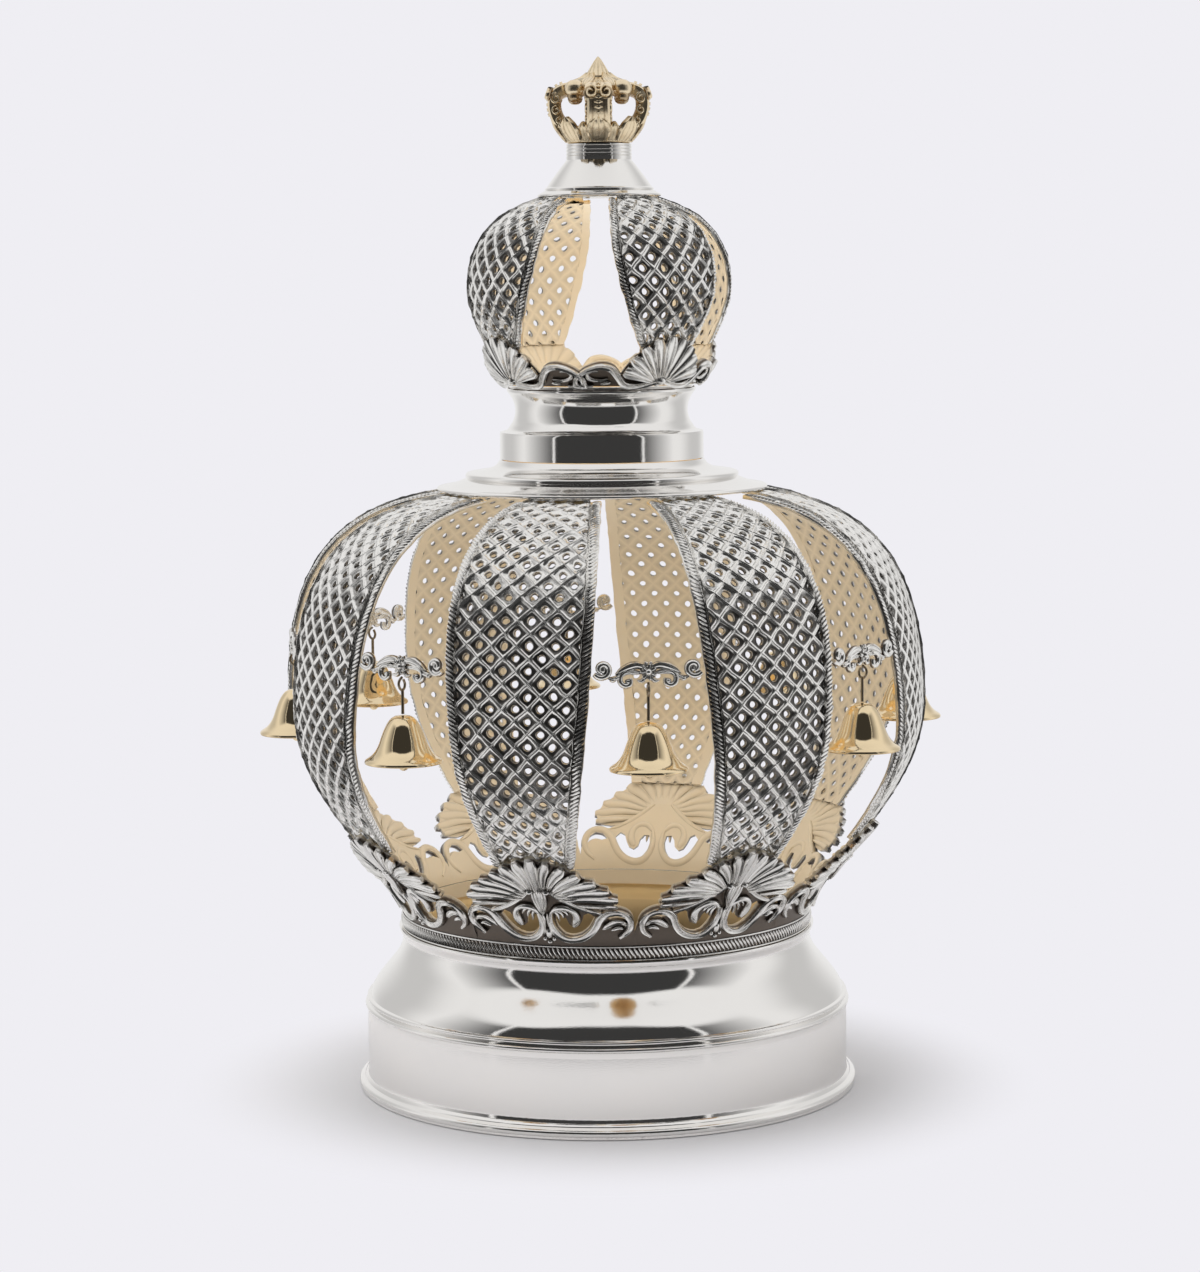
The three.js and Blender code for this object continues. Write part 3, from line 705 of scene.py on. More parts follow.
def run_tree(piece, tree, **sizes):
    """Runs a tree on an object and keeps the result as its plain mesh."""
    modifier = piece.modifiers.new(tree.name, "NODES")
    modifier.node_group = tree
    labels = {item.name: item.identifier for item in tree.interface.items_tree
              if item.in_out == "INPUT"}
    for label, value in sizes.items():
        modifier[labels[label.replace("_", " ")]] = value
    graph = bpy.context.evaluated_depsgraph_get()
    mesh = bpy.data.meshes.new_from_object(piece.evaluated_get(graph), depsgraph=graph)
    piece.modifiers.remove(modifier)
    piece.data = mesh


# %% [markdown]
# ## Laying flat work on a dome
# The tree reads a flat point as x across, y along the dome's line and z outwards. It samples the
# line at the length y, steps out along its normal by z, and turns about the axis by x over the
# radius there. A Curve modifier could bend along one line, but not round the axis as well.

# %% The tree that lays flat work on a dome
def line_at(tree, guide, along):
    """Place and direction of the dome's line at a length along it."""
    line = add_node(tree, "GeometryNodeMeshToCurve", {"Mesh": shape_of(tree, guide)})
    sample = add_node(tree, "GeometryNodeSampleCurve", {"Curves": line, "Length": along},
                      mode="LENGTH")
    return [split(tree, sample.outputs[label]) for label in ("Position", "Tangent")]


def dome_place(tree, guide, across, along, outward):
    """The place on the dome of a flat place."""
    here, way = line_at(tree, guide, along)
    radius = here[0] + way[2] * outward
    height = here[2] - way[0] * outward
    angle = across / here[0]
    return vector(tree, radius * angle.does("SINE"), radius * angle.does("COSINE") * -1.0, height)


bend_tree, given = geometry_tree("Lay on a dome", {"Dome line": "Object"})
flat = split(bend_tree, add_node(bend_tree, "GeometryNodeInputPosition"))
bent = add_node(bend_tree, "GeometryNodeSetPosition", {
    "Geometry": given["Geometry"], "Position": dome_place(bend_tree, given["Dome line"], *flat)})
add_node(bend_tree, "NodeGroupOutput", {"Geometry": bent})


# %% [markdown]
# ## Round the crown
# The gallery repeats one unit eight times, the upper gallery four times. Instances on a few
# points do that: each point turns its instance by one step, and the instances are made real.

# %% The tree that repeats a unit round the axis
ring_tree, given = geometry_tree("Round the crown", {
    "Count": "Int", "First turn": "Float", "Finish": "Material"})
spots = add_node(ring_tree, "GeometryNodePoints", {"Count": given["Count"]})
step = maths(ring_tree, "DIVIDE", FULL_TURN, given["Count"])
turn = add_field(ring_tree, "GeometryNodeInputIndex") * step + given["First turn"]
copies = add_node(ring_tree, "GeometryNodeInstanceOnPoints", {
    "Points": spots, "Instance": given["Geometry"], "Rotation": vector(ring_tree, z=turn)})
finish_tree(ring_tree, copies, given["Finish"])


# %% [markdown]
# ## Finishes
# Silver, gilt and a dark wire make the crown, in six finishes. Polished silver is almost a
# mirror, so its look comes from what it reflects and from faint spin marks. Chased and pierced
# silver are darkened all over and rubbed bright on their crests. The gilt of the inner sides is
# matt and darkened by painted shade where it lies deep, that of the bells bright. Two effects
# serve all six, so each is a shader group with named sockets: the oxide in the recesses, which
# also paints the painted light and shade that the relief value carries, and the fine marks of
# polishing.

# %% Shader groups: oxide in the recesses with painted light and shade, and polishing marks
def blend(tree, share, first, second):
    """A colour between two, at the share from the first to the second."""
    return add_field(tree, "ShaderNodeMix", {0: share, 6: first, 7: second}, output=2,
                     data_type="RGBA")


def cloud(tree, where, scale, detail):
    return add_field(tree, "ShaderNodeTexNoise", {
        "Vector": where, "Scale": scale, "Detail": detail})


# Besides the oxide in the recesses, this darkening paints painted shade and painted light wherever the relief
# value carries them.
oxide_and_painted_light, given = new_tree(
    "Oxide in the recesses", "Shader",
    {"Relief": "Float", "Amount": "Float", "Bright": "Color", "Dark": "Color", "Grain": "Float"},
    {"Color": "Color", "Roughness": "Float"},
)
where = add_node(oxide_and_painted_light, "ShaderNodeTexCoord").outputs["Object"]
speck = (cloud(oxide_and_painted_light, where, given["Grain"], 3.0) - 0.5) * 0.5 + given["Relief"]
speck = (cloud(oxide_and_painted_light, where, 42.0, 2.0) - 0.5) * 0.35 + speck
bright = 1.0 - (1.0 - ramp(oxide_and_painted_light, speck, 0.12, 0.72)) * given["Amount"]
add_node(oxide_and_painted_light, "NodeGroupOutput", {
    "Color": blend(oxide_and_painted_light, bright, given["Dark"], given["Bright"]),
    "Roughness": bright * -0.3 + 0.46,
})

marks, given = new_tree(
    "Polishing marks", "Shader",
    {"Fineness": "Float", "Roughness": "Float", "Spread": "Float"},
    {"Height": "Float", "Roughness": "Float"},
)
where = add_node(marks, "ShaderNodeTexCoord").outputs["Object"]
x, y, z = split(marks, where)
radius = (x * x + y * y).does("SQRT")
round_the_axis = vector(marks, radius * 60.0, y.does("ARCTAN2", x), z * 60.0)
add_node(marks, "NodeGroupOutput", {
    "Height": cloud(marks, round_the_axis, given["Fineness"], 2.0),
    "Roughness": cloud(marks, where, 22.0, 3.0) * given["Spread"] + given["Roughness"],
})


# %% The metals
def metal(name, bright, dark, gilt, amount, roughness, spread, gilt_roughness=0.4, bump=0.04):
    """A finish: silver or gilt outside, oxidised by this amount, and matt gilt inside that is darkened as
    painted shade where the mesh marks shade.
    """
    finish = bpy.data.materials.new(name)
    finish.use_nodes = True
    tree = finish.node_tree
    relief, inner = [add_field(tree, "ShaderNodeAttribute", output="Fac", attribute_name=word)
                     for word in ("relief", "inside")]
    oxide_and_light_node = add_node(tree, "ShaderNodeGroup", {
        "Relief": relief, "Amount": amount, "Bright": (*bright, 1), "Dark": (*dark, 1),
        "Grain": 900.0}, node_tree=oxide_and_painted_light)
    polish = add_node(tree, "ShaderNodeGroup", {
        "Fineness": 60.0, "Roughness": roughness, "Spread": spread}, node_tree=marks)
    mask = ramp(tree, inner, 0.35, 0.65, soft=False)
    # Painted shade on the gilt inner side: the gilt darkens to 0.22 of its colour where the relief value is
    # low.
    gilt_with_painted_shade = blend(tree, relief, (*(c * 0.22 for c in gilt), 1), (*gilt, 1))
    worn = maths(tree, "MULTIPLY", oxide_and_light_node.outputs["Roughness"], amount)
    worn = worn.does("MAXIMUM", polish.outputs["Roughness"])
    plug(tree, tree.nodes["Principled BSDF"], {
        "Base Color": blend(tree, mask, oxide_and_light_node.outputs["Color"], gilt_with_painted_shade),
        "Roughness": add_node(tree, "ShaderNodeMix", {0: mask, 2: worn, 3: gilt_roughness}),
        "Metallic": mask * -0.7 + 1.0,
        "Normal": add_node(tree, "ShaderNodeBump", {
            "Height": polish.outputs["Height"], "Strength": bump, "Distance": 0.0002}),
    })
    return finish


GILT_INSIDE = (0.94, 0.74, 0.42)
GILT_PALE = (0.92, 0.82, 0.65)
polished_silver = metal("polished silver", (0.92, 0.905, 0.885), (0.4, 0.38, 0.36), GILT_INSIDE,
                        0.0, 0.045, 0.05)
chased_silver = metal("chased silver", (0.91, 0.9, 0.88), (0.13, 0.104, 0.084), GILT_PALE,
                      0.96, 0.13, 0.08, bump=0.08)
pierced_silver = metal("pierced silver", (0.95, 0.94, 0.92), (0.075, 0.067, 0.06), GILT_PALE,
                       0.9, 0.2, 0.08, bump=0.08)
gilt_work = metal("gilt", (0.94, 0.79, 0.56), (0.3, 0.2, 0.1), (0.88, 0.66, 0.36),
                  0.7, 0.24, 0.06, 0.28)
gilt_bright = metal("bright gilt", (0.92, 0.75, 0.49), (0.3, 0.17, 0.06), (0.8, 0.55, 0.28),
                    0.0, 0.05, 0.05, 0.22)
dark_wire = metal("dark bronze", (0.3, 0.25, 0.19), (0.08, 0.06, 0.04), (0.3, 0.24, 0.17),
                  0.5, 0.2, 0.12)


# %% [markdown]
# ## Finishing a piece
# Every piece is shaded smooth, with a crease only where faces meet at a clear angle. Then it is
# given its finish and set on the root body, and the imported solid that it stands for is hidden.

# %% Finish a piece and set it on its body
made = []


def finish_piece(piece, finish, node, crease=42):
    mesh = piece.data
    mesh.materials.clear()
    mesh.materials.append(finish)
    mesh.polygons.foreach_set("use_smooth", np.ones(len(mesh.polygons), bool))
    mesh.set_sharp_from_angle(angle=math.radians(crease))
    if "anchor" in mesh.attributes:
        mesh.attributes.remove(mesh.attributes["anchor"])
    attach(piece, "root")
    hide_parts(node)
    mesh.calc_loop_triangles()
    made.append((piece.name, len(mesh.loop_triangles)))


def turned_copy(piece, name, angle):
    mesh = piece.data.copy()
    points = np.empty(len(mesh.vertices) * 3)
    mesh.vertices.foreach_get("co", points)
    points = points.reshape(-1, 3) @ turn_matrix(angle)
    mesh.vertices.foreach_set("co", points.reshape(-1))
    mesh.update()
    return linked(name, mesh)


def drop(*helpers):
    """Takes away objects that only served to make others."""
    for helper in helpers:
        bpy.data.objects.remove(helper)


spun = {"foot": foot_shape, "shoulder": shoulder_shape, "neck": neck_shape, "cap": cap_shape}
for name, part in spun.items():
    finish_piece(as_object(name + "_spun", [part]), polished_silver, name,
                 crease=35)


# %% [markdown]
# ## The gallery
# The flat palmette is bent on the dome once and then repeated eight times. The ribs start behind
# its fans.

# %% Bend and repeat the palmette
gallery = as_object("gallery_chased", palmette)
run_tree(gallery, bend_tree, Dome_line=main_guide)
run_tree(gallery, ring_tree, Count=8, First_turn=0.0, Finish=chased_silver)
finish_piece(gallery, chased_silver, "gallery")


# %% [markdown]
# ## A twisted rope
# The waist and the edges of every rib carry a rope: a row of slanted beads on a dark half-round
# core. One bead has only a few dozen faces, because hundreds of them are needed.

# %% One bead
def bead(length, width, height, spokes=8, rings=4):
    """An egg that lies flat, its long axis along x."""
    points = [(-length, 0, 0)]
    for i in range(1, rings):
        tilt = i / rings * math.pi
        points += [(-length * math.cos(tilt), width * math.sin(tilt) * math.cos(a),
                    height * math.sin(tilt) * math.sin(a)) for a in even_turns(spokes)]
    points.append((length, 0, 0))
    relief = np.clip(0.25 + 1.1 * np.array(points)[:, 2] / height, 0, 1)
    return shape(points, flipped(capped_skin(rings - 1, spokes)), relief)


# %% The rope round the waist
band_tree, given = geometry_tree("Rope round the waist", {
    "Strand": "Object", "Strands": "Int", "Radius": "Float", "Height": "Float",
    "Slant": "Float", "Finish": "Material"})
ring = add_node(band_tree, "GeometryNodeCurvePrimitiveCircle", {
    "Resolution": given["Strands"], "Radius": given["Radius"]})
spots = add_node(band_tree, "GeometryNodeSetPosition", {
    "Geometry": ring, "Offset": vector(band_tree, z=given["Height"])})
turn = add_field(band_tree, "GeometryNodeInputIndex") * FULL_TURN / given["Strands"]
stand = vector(band_tree, x=math.pi / 2, z=turn + math.pi / 2)
stand, slant = [add_node(band_tree, "FunctionNodeEulerToRotation", {0: euler})
                for euler in (stand, vector(band_tree, z=given["Slant"]))]
both = add_node(band_tree, "FunctionNodeRotateRotation", {
    "Rotation": stand, "Rotate By": slant}, rotation_space="LOCAL")
copies = add_node(band_tree, "GeometryNodeInstanceOnPoints", {
    "Points": spots, "Instance": shape_of(band_tree, given["Strand"]), "Rotation": both})
finish_tree(band_tree, together(band_tree, copies, given["Geometry"]), given["Finish"])

band_middle = sum(heights("rope_band")) / 2
CORE_HALF = 3.1
waist_strand = as_object("waist_strand", [bead(3.0, 0.62, 0.75)])
core = [(84.9 + 0.9 * math.cos(a), band_middle + CORE_HALF * math.sin(a), 0)
        for a in np.linspace(-math.pi / 2, math.pi / 2, 7)]
core += [(82.9, band_middle + CORE_HALF, 1), (82.9, band_middle - CORE_HALF, 1)]
lips = [turned([(85.7 + 0.45 * math.cos(a), band_middle + side * 2.65 + 0.4 * math.sin(a), 0)
                for a in even_turns(8)], 144) for side in (-1, 1)]
band = as_object("rope_band_twisted", [turned(core, 144, relief=0.0)] + lips)
run_tree(band, band_tree, Strand=waist_strand, Strands=280, Radius=85.7 * MM,
         Height=band_middle * MM, Slant=math.radians(-56), Finish=chased_silver)
finish_piece(band, chased_silver, "rope_band")


# %% [markdown]
# ## The pierced ribs
# A rib is a sheet of staggered lozenge cells: raised wires cross over a dark floor, and each
# floor has a round sawn hole. Modelling the net as one cell that repeats keeps the wires exact
# and needs no boolean cuts. The tree sets cells in a staggered grid, welds them to one sheet,
# closes its rim, adds the beads of the two ropes, narrows all of it to the rib's own width,
# shakes it a little as hand work is, and lays it on the dome.

# %% One cell of the net
SEAM, BACK = 0.2, -1.35


def net_cell(width, height, hole, side=3):
    """One lozenge: half of a broad wire all round, a bowl inside it and a hole at the bottom."""
    a, b = width / 2, height / 2
    corners = np.array([(a, 0), (0, b), (-a, 0), (0, -b)])
    rim = np.vstack([corners[i] + (corners[(i + 1) % 4] - corners[i]) * j / side
                     for i in range(4) for j in range(side)])
    count = len(rim)
    angles = np.arctan2(rim[:, 1], rim[:, 0])
    circle = np.column_stack([np.cos(angles), np.sin(angles)])
    depth = a * b / math.hypot(a, b)

    def inset(distance, roundness):
        size = 1 - distance / depth
        return size * (rim * (1 - roundness) + circle * [a * 0.74, b * 0.74] * roundness)

    # On the gilt back the hole's edge has a lower relief value than the rim: painted shade round each hole.
    rings = [  # line, height, relief, inside
        (rim, SEAM, 0.5, 0), (inset(0.32, 0.0), 0.5, 1.0, 0), (inset(0.62, 0.05), 0.36, 0.7, 0),
        (inset(0.95, 0.3), -0.2, 0.0, 0), (circle * (hole + 0.6), -0.35, 0.0, 0),
        (circle * (hole + 0.25), -0.05, 0.5, 0), (circle * hole, -1.3, 0.0, 0),
        (circle * hole, -1.45, 0.7, 1), (rim, BACK, 1.0, 1),
    ]
    points = np.vstack([np.column_stack([line, np.full(count, z)]) for line, z, _, _ in rings])
    relief = np.repeat([r for _, _, r, _ in rings], count)
    inside = np.repeat([g for _, _, _, g in rings], count)
    return shape(points, flipped(skin(len(rings), count)), relief, inside)


# %% The tree of a pierced rib: its width at each height
rib_tree, given = geometry_tree("Pierced rib", {
    "Cell": "Object", "Strand": "Object", "Dome line": "Object", "Start": "Float",
    "End": "Float", "Foot angle": "Float", "Swell angle": "Float", "Top angle": "Float",
    "Widest": "Float", "Squeeze": "Float", "Cell width": "Float", "Cell height": "Float",
    "Columns": "Int", "Rows": "Int", "Edge": "Float", "Rope width": "Float",
    "Pitch": "Float", "Slant": "Float", "Wall": "Float", "Finish": "Material"})
start, end, pitch = given["Start"], given["End"], given["Pitch"]
position = add_node(rib_tree, "GeometryNodeInputPosition")
flat_x, flat_y, flat_z = split(rib_tree, position)
along = flat_y.does("MAXIMUM", start).does("MINIMUM", end)
here, _ = line_at(rib_tree, given["Dome line"], along)
share = (along - start) / (end - start)
rest = 1.0 - share
half_angle = (rest * rest * given["Foot angle"] + rest * share * 2.0 * given["Swell angle"]
              + share * share * given["Top angle"])
half_width = here[0] * half_angle
limit = half_width - given["Edge"]
squeezed = flat_x * (half_width / given["Widest"]).does("POWER", given["Squeeze"])

# %% The net: two grids of cells, cut to the rib and welded
cell_width, cell_height = given["Cell width"], given["Cell height"]
columns, rows = given["Columns"], given["Rows"]
WELD = 2e-5
grids = []
for shift in (0.0, 0.5):
    grid = add_node(rib_tree, "GeometryNodeMeshGrid", {
        "Size X": cell_width * (columns - 1.0), "Size Y": cell_height * (rows - 1.0),
        "Vertices X": columns, "Vertices Y": rows})
    offset = vector(rib_tree, cell_width * shift, cell_height * shift + (start + end) * 0.5)
    grids.append(add_node(rib_tree, "GeometryNodeSetPosition", {
        "Geometry": grid, "Offset": offset}))
too_wide = cell_width * -0.4 + abs(squeezed) > limit
too_far = abs(flat_y - along) > cell_height * 0.35
kept = add_node(rib_tree, "GeometryNodeDeleteGeometry", {
    "Geometry": together(rib_tree, *grids), "Selection": too_wide.does("MAXIMUM", too_far),
}, domain="POINT")
cells = add_node(rib_tree, "GeometryNodeInstanceOnPoints", {
    "Points": kept, "Instance": shape_of(rib_tree, given["Cell"])})
net = add_node(rib_tree, "GeometryNodeRealizeInstances", {"Geometry": cells})
net = add_node(rib_tree, "GeometryNodeMergeByDistance", {"Geometry": net, "Distance": WELD})
neighbours = add_node(rib_tree, "GeometryNodeInputMeshEdgeNeighbors")
open_edge = maths(rib_tree, "COMPARE", neighbours, 1.0, 0.1) * (flat_z > 0.0)
rim = add_node(rib_tree, "GeometryNodeExtrudeMesh", {
    "Mesh": net, "Selection": open_edge, "Offset": (0, 0, -1), "Offset Scale": given["Wall"],
}, mode="EDGES")
net = add_node(rib_tree, "GeometryNodeMergeByDistance", {"Geometry": rim, "Distance": WELD})


# %% Two ropes beside the net
def store(tree, geometry, name, value):
    return add_node(tree, "GeometryNodeStoreNamedAttribute", {
        "Geometry": geometry, "Name": name, "Value": value}, data_type="FLOAT", domain="POINT")


def stored(tree, name):
    return add_field(tree, "GeometryNodeInputNamedAttribute", {"Name": name}, data_type="FLOAT")


count = ((end - start) / pitch).does("FLOOR")
strand = shape_of(rib_tree, given["Strand"])
ropes = []
for side in (-1.0, 1.0):
    first = vector(rib_tree, given["Rope width"] * (-0.5 * side), pitch * 0.5 + start, 0.00025)
    row = add_node(rib_tree, "GeometryNodeMeshLine", {
        "Count": count, "Start Location": first, "Offset": vector(rib_tree, y=pitch),
    }, mode="OFFSET")
    beads = add_node(rib_tree, "GeometryNodeInstanceOnPoints", {
        "Points": row, "Instance": strand, "Rotation": vector(rib_tree, z=given["Slant"] * side)})
    beads = add_node(rib_tree, "GeometryNodeRealizeInstances", {"Geometry": beads})
    ropes.append(store(rib_tree, beads, "anchor", side))
whole = together(rib_tree, *ropes, net, given["Geometry"])

# %% Paint the ends lighter as painted light, shake the net and lay it on the dome
FLOOR_OF_BOWLS = -0.00045
DARKEST_SHARE = 0.4
SHAKE = (0.0016, 0.0016, 0.0009)
# Painted light: the rib's outer face keeps its oxide at 0.4 of its length, where it is darkest, and is painted
# lighter towards both ends.
painted_light_at_ends = ramp(rib_tree, abs(share - DARKEST_SHARE), 0.1, 0.4) * (flat_z > FLOOR_OF_BOWLS)
lighter = store(rib_tree, whole, "relief", stored(rib_tree, "relief").does("MAXIMUM", painted_light_at_ends))
anchor = stored(rib_tree, "anchor")
across = add_field(rib_tree, "GeometryNodeSwitch", {
    "Switch": abs(anchor) > 0.5, "True": anchor * half_width + flat_x,
    "False": squeezed.does("MINIMUM", limit).does("MAXIMUM", limit * -1.0),
}, input_type="FLOAT")
uneven = add_node(rib_tree, "ShaderNodeTexNoise", {
    "Vector": position, "Scale": 190.0, "Detail": 1.0}).outputs["Color"]
shaken = [(part - 0.5) * size + value for part, size, value
          in zip(split(rib_tree, uneven), SHAKE, (across, along, flat_z))]
laid = add_node(rib_tree, "GeometryNodeSetPosition", {
    "Geometry": lighter, "Position": dome_place(rib_tree, given["Dome line"], *shaken)})
finish_tree(rib_tree, laid, given["Finish"])


# %% [markdown]
# ## Main ribs and upper ribs
# Each rib's ropes lie on a dark rail, which also covers the ragged edge of the net. The rail is
# measured from the rib's edge, and the "anchor" attribute tells the tree which edge that is.

# %% The rails under the ropes
def rails(start, end, rope, count=56):
    spans = [(0.0, -0.3, 0.3), (0.3, 0.0, 0.1), (rope / 2, 0.1, 0.0), (rope - 0.3, 0.0, 0.1),
             (rope, -0.2, 0.0), (rope + 0.35, 0.3, 0.9), (rope + 0.7, 0.1, 0.5)]
    back = -SHEET - 0.1
    parts = []
    for side in (-1, 1):
        line = [(-side * d, z, shade) for d, z, shade in spans]
        line += [(-side * spans[-1][0], back, 1), (0, back, 1)]
        line = line[::side]
        size = len(line)
        points = [(x, y, z) for y in np.linspace(start, end, count) for x, z, _ in line]
        faces = [face[::-1] for face in skin(count, size)]
        faces += [range(size)[::-1], range((count - 1) * size, count * size)]
        relief = [shade for _, _, shade in line] * count
        gilt = [float(z == back) for _, z, _ in line] * count
        parts.append(shape(points, faces, relief, gilt, side))
    return parts


# %% Make the ribs
def pierced_rib(name, guide, line, start, angles, cell_size, hole, columns, rows, rope, pitch):
    """One rib at the front. Angles are its half widths at foot, swell and top; sizes in mm."""
    run = run_of(line)
    end = run[-1]
    cell = as_object("cell", [net_cell(*cell_size, hole)])
    strand = as_object("strand", [bead(rope * 0.6, 0.63, 0.66, 6)])
    rib = as_object(name, rails(start, end, rope))
    foot, swell, top = [math.radians(a) for a in angles]
    t = np.clip((run - start) / (end - start), 0, 1)
    widths = line[:, 0] * ((1 - t) ** 2 * foot + 2 * t * (1 - t) * swell + t * t * top)
    widest = float(widths.max())
    run_tree(rib, rib_tree, Cell=cell, Strand=strand, Dome_line=guide, Start=start * MM,
             End=end * MM, Foot_angle=foot, Swell_angle=swell, Top_angle=top,
             Widest=widest * MM, Squeeze=0.45, Cell_width=cell_size[0] * MM,
             Cell_height=cell_size[1] * MM, Columns=columns, Rows=rows, Edge=(rope + 0.6) * MM,
             Rope_width=rope * MM, Pitch=pitch * MM, Slant=math.radians(34),
             Wall=(SEAM - BACK) * MM, Finish=pierced_silver)
    drop(cell, strand)
    print(name, "half width", round(widest, 1), "mm,", len(rib.data.polygons), "faces")
    return rib


main_rib = pierced_rib("rib_1_pierced", main_guide, main_line, 42.0, (8.6, 14.3, 14.6), (10.2, 9.7),
                       1.36,
                       columns=9, rows=21, rope=3.8, pitch=1.75)
upper_rib = pierced_rib("upper_rib_pattern", upper_guide, upper_line, 17.5, (14, 35, 24.5),
                        (9.4, 9.6), 1.4,
                        columns=9, rows=11, rope=2.6, pitch=1.5)

for number in range(1, 8):
    copy = turned_copy(main_rib, f"rib_{number + 1}_pierced", number * math.pi / 4)
    finish_piece(copy, pierced_silver, f"rib_{number + 1}")
finish_piece(main_rib, pierced_silver, "rib_1")
UPPER_TURN = math.radians(48.5)
for number in range(4):
    copy = turned_copy(upper_rib, f"upper_rib_{number + 1}_pierced",
                       UPPER_TURN + number * math.pi / 2)
    finish_piece(copy, pierced_silver, f"upper_rib_{number + 1}")
drop(upper_rib)


# ## The upper gallery
# Four fluted shells carry the small dome. From under each shell a ribbon runs out, rises over a
# round loop and dips to meet its neighbour.

# %% One shell, bent and repeated
shell = []
for number in range(-4, 5):
    angle = math.radians(number * 17.5)
    reach = 20.5 - 0.22 * abs(number) ** 1.6
    base = (3.0 * math.sin(angle), 3.6 + 1.0 * math.cos(angle))
    tip = (reach * math.sin(angle) * 0.98, 3.2 + reach * math.cos(angle))
    shell.append(strip([base, tip], (0.7, 2.0, 3.3), 1.5, PETAL, (0.8, 1.6), 2.0, 16, (0.6, 0.6)))
edge_ribbon = [(0.0, 4.6), (-5.5, 2.9), (-11.0, 1.9), (-15.5, 3.1), (-19.0, 6.6), (-22.8, 10.2),
               (-27.6, 11.2), (-32.4, 9.4),
               (-34.9, 6.2), (-34.3, 3.0), (-31.0, 1.6), (-27.0, 2.0)]
shell += pair(
    strip(edge_ribbon, (1.2, 1.5, 1.0), 1.7, CHANNEL, 0.7, 2.6, 54, (0.9, 0.4)),
    strip([(-22.2, 5.2), (-25.6, 4.4), (-29.2, 5.0), (-31.4, 7.0), (-30.2, 8.8), (-27.4, 8.6)],
          (0.6, 0.9, 0.7), 1.3, ROUND, 0.3, 1.0, 20, (0.3, 0.5)),
    strip([(-20.6, 3.2), (-24.4, 2.6)], (0.6, 0.9, 0.5), 1.1, ROUND, 0.3, 0.9, 8),
    boss((-30.6, 1.9), (1.1, 0.9), 1.4, 0.5),
)
shell += [boss((0, 4.4), (2.4, 1.7), 2.0, 1.4), boss((0, 1.5), (1.6, 0.9), 1.0, 0.3)]
low_left = [(-30.6, 0.0), (-33.8, 3.4), (-35.0, 6.6), (-32.4, 10.2), (-27.6, 11.8), (-22.6, 10.8),
            (-18.6, 7.4), (-15.8, 6.0),
            (-10.0, 8.0), (0.0, 9.0)]
shell_ground = low_left + [(-x, y) for x, y in low_left[-2::-1]] + [(x, 0.0)
                                                                    for x in np.linspace(30.6, -30.6, 22)[1:-1]]
shell.append(plate(shell_ground, []))
fan_edge = [(18.6 * math.sin(a), 3.2 + 18.9 * math.cos(a))
            for a in np.radians(np.linspace(-76, 76, 19))]
shell.append(plate(fan_edge + [(4.0, 4.6), (-4.0, 4.6)], [], top=1.2, bottom=0.3, relief=0.12))
upper_gallery = as_object("upper_gallery_chased", shell)
run_tree(upper_gallery, bend_tree, Dome_line=upper_guide)
run_tree(upper_gallery, ring_tree, Count=4, First_turn=UPPER_TURN, Finish=chased_silver)
finish_piece(upper_gallery, chased_silver, "upper_gallery")
drop(main_guide, upper_guide, waist_strand)


# %% [markdown]
# ## Festoons, hooks, bells and clappers
# Between each two ribs hangs a cast festoon of scrolls with a flower at its middle, and under it
# a wire hook with a gilt bell. One set is built at the front and copied to the eight gaps.

# %% One festoon
link_low, link_high = heights("link_1")
low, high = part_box("bell_1")
GAP = math.pi / 8
hang = (low[0] + high[0]) / 2 / MM / math.sin(GAP)
low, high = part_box("link_1")
link_span = math.hypot(high[0] - low[0], high[1] - low[1]) / MM / 2 - 0.6

link = pair(
    strip([(-0.6, 1.4), (-4.6, 2.5), (-9.0, 1.3), (-12.6, -0.8)], (1.2, 1.7, 0.7), 1.3, PETAL, 0.3,
          1.3, 18, (0.6, 0.25)),
    coil((-8.2, -3.2), 3.7, 1.4, 0.9, 60, 1.1, 1.3, 0.2, 20),
    boss((-7.4, -3.6), (1.6, 1.1), 1.0, 0.2),
    strip([(-2.6, -0.4), (-5.4, -0.1), (-8.6, -0.3), (-11.2, -1.6), (-13.4, -2.4), (-15.6, -2.2)],
          (1.0, 0.9, 0.9), 1.2, CHANNEL, 0.3, 1.3, 22),
    coil((-link_span + 3.6, 1.2), 3.6, 1.2, 1.1, -150, 1.2, 1.5, 0.2, 22),
    boss((-link_span + 3.9, 1.0), (1.1, 1.5), 1.0, 0.2),
    boss((-13.6, -2.9), (1.3, 1.0), 1.3, 0.2),
    strip([(-1.0, -2.0), (-2.6, -3.6), (-4.4, -3.2)], (0.7, 0.9, 0.4), 1.0, ROUND, 0.2, 1.0, 10),
    strip([(-0.5, 2.6), (-1.3, 4.0)], (0.6, 0.7, 0.3), 0.9, ROUND, 0.3, 0.9, 7),
)
for number in range(7):
    angle = FULL_TURN * number / 7 + 0.2
    link.append(strip([(0.8 * math.sin(angle), 0.8 * math.cos(angle)),
                       (3.3 * math.sin(angle), 3.3 * math.cos(angle))],
                      (0.7, 1.15, 0.9), 1.2, PETAL, 0.7, 1.6, 9, (0.6, 0.3)))
link.append(boss((0, 0), (1.4, 1.4), 1.4, 1.3, spokes=8, rings=3))
backs = [moved(mirrored(part), lambda p: p * [-1, 1, -1] * [1, 1, 0.6]) for part in link]
link = [{**part, "inside": part["inside"] * 0} for part in link + backs]
link_middle = link_high - 4.6


def stand_up(part):
    p = part["points"]
    return {**part, "points": np.column_stack([p[:, 0], -(hang + p[:, 2]), link_middle + p[:, 1]])}


link_piece = as_object("link_pattern", [stand_up(part) for part in link])


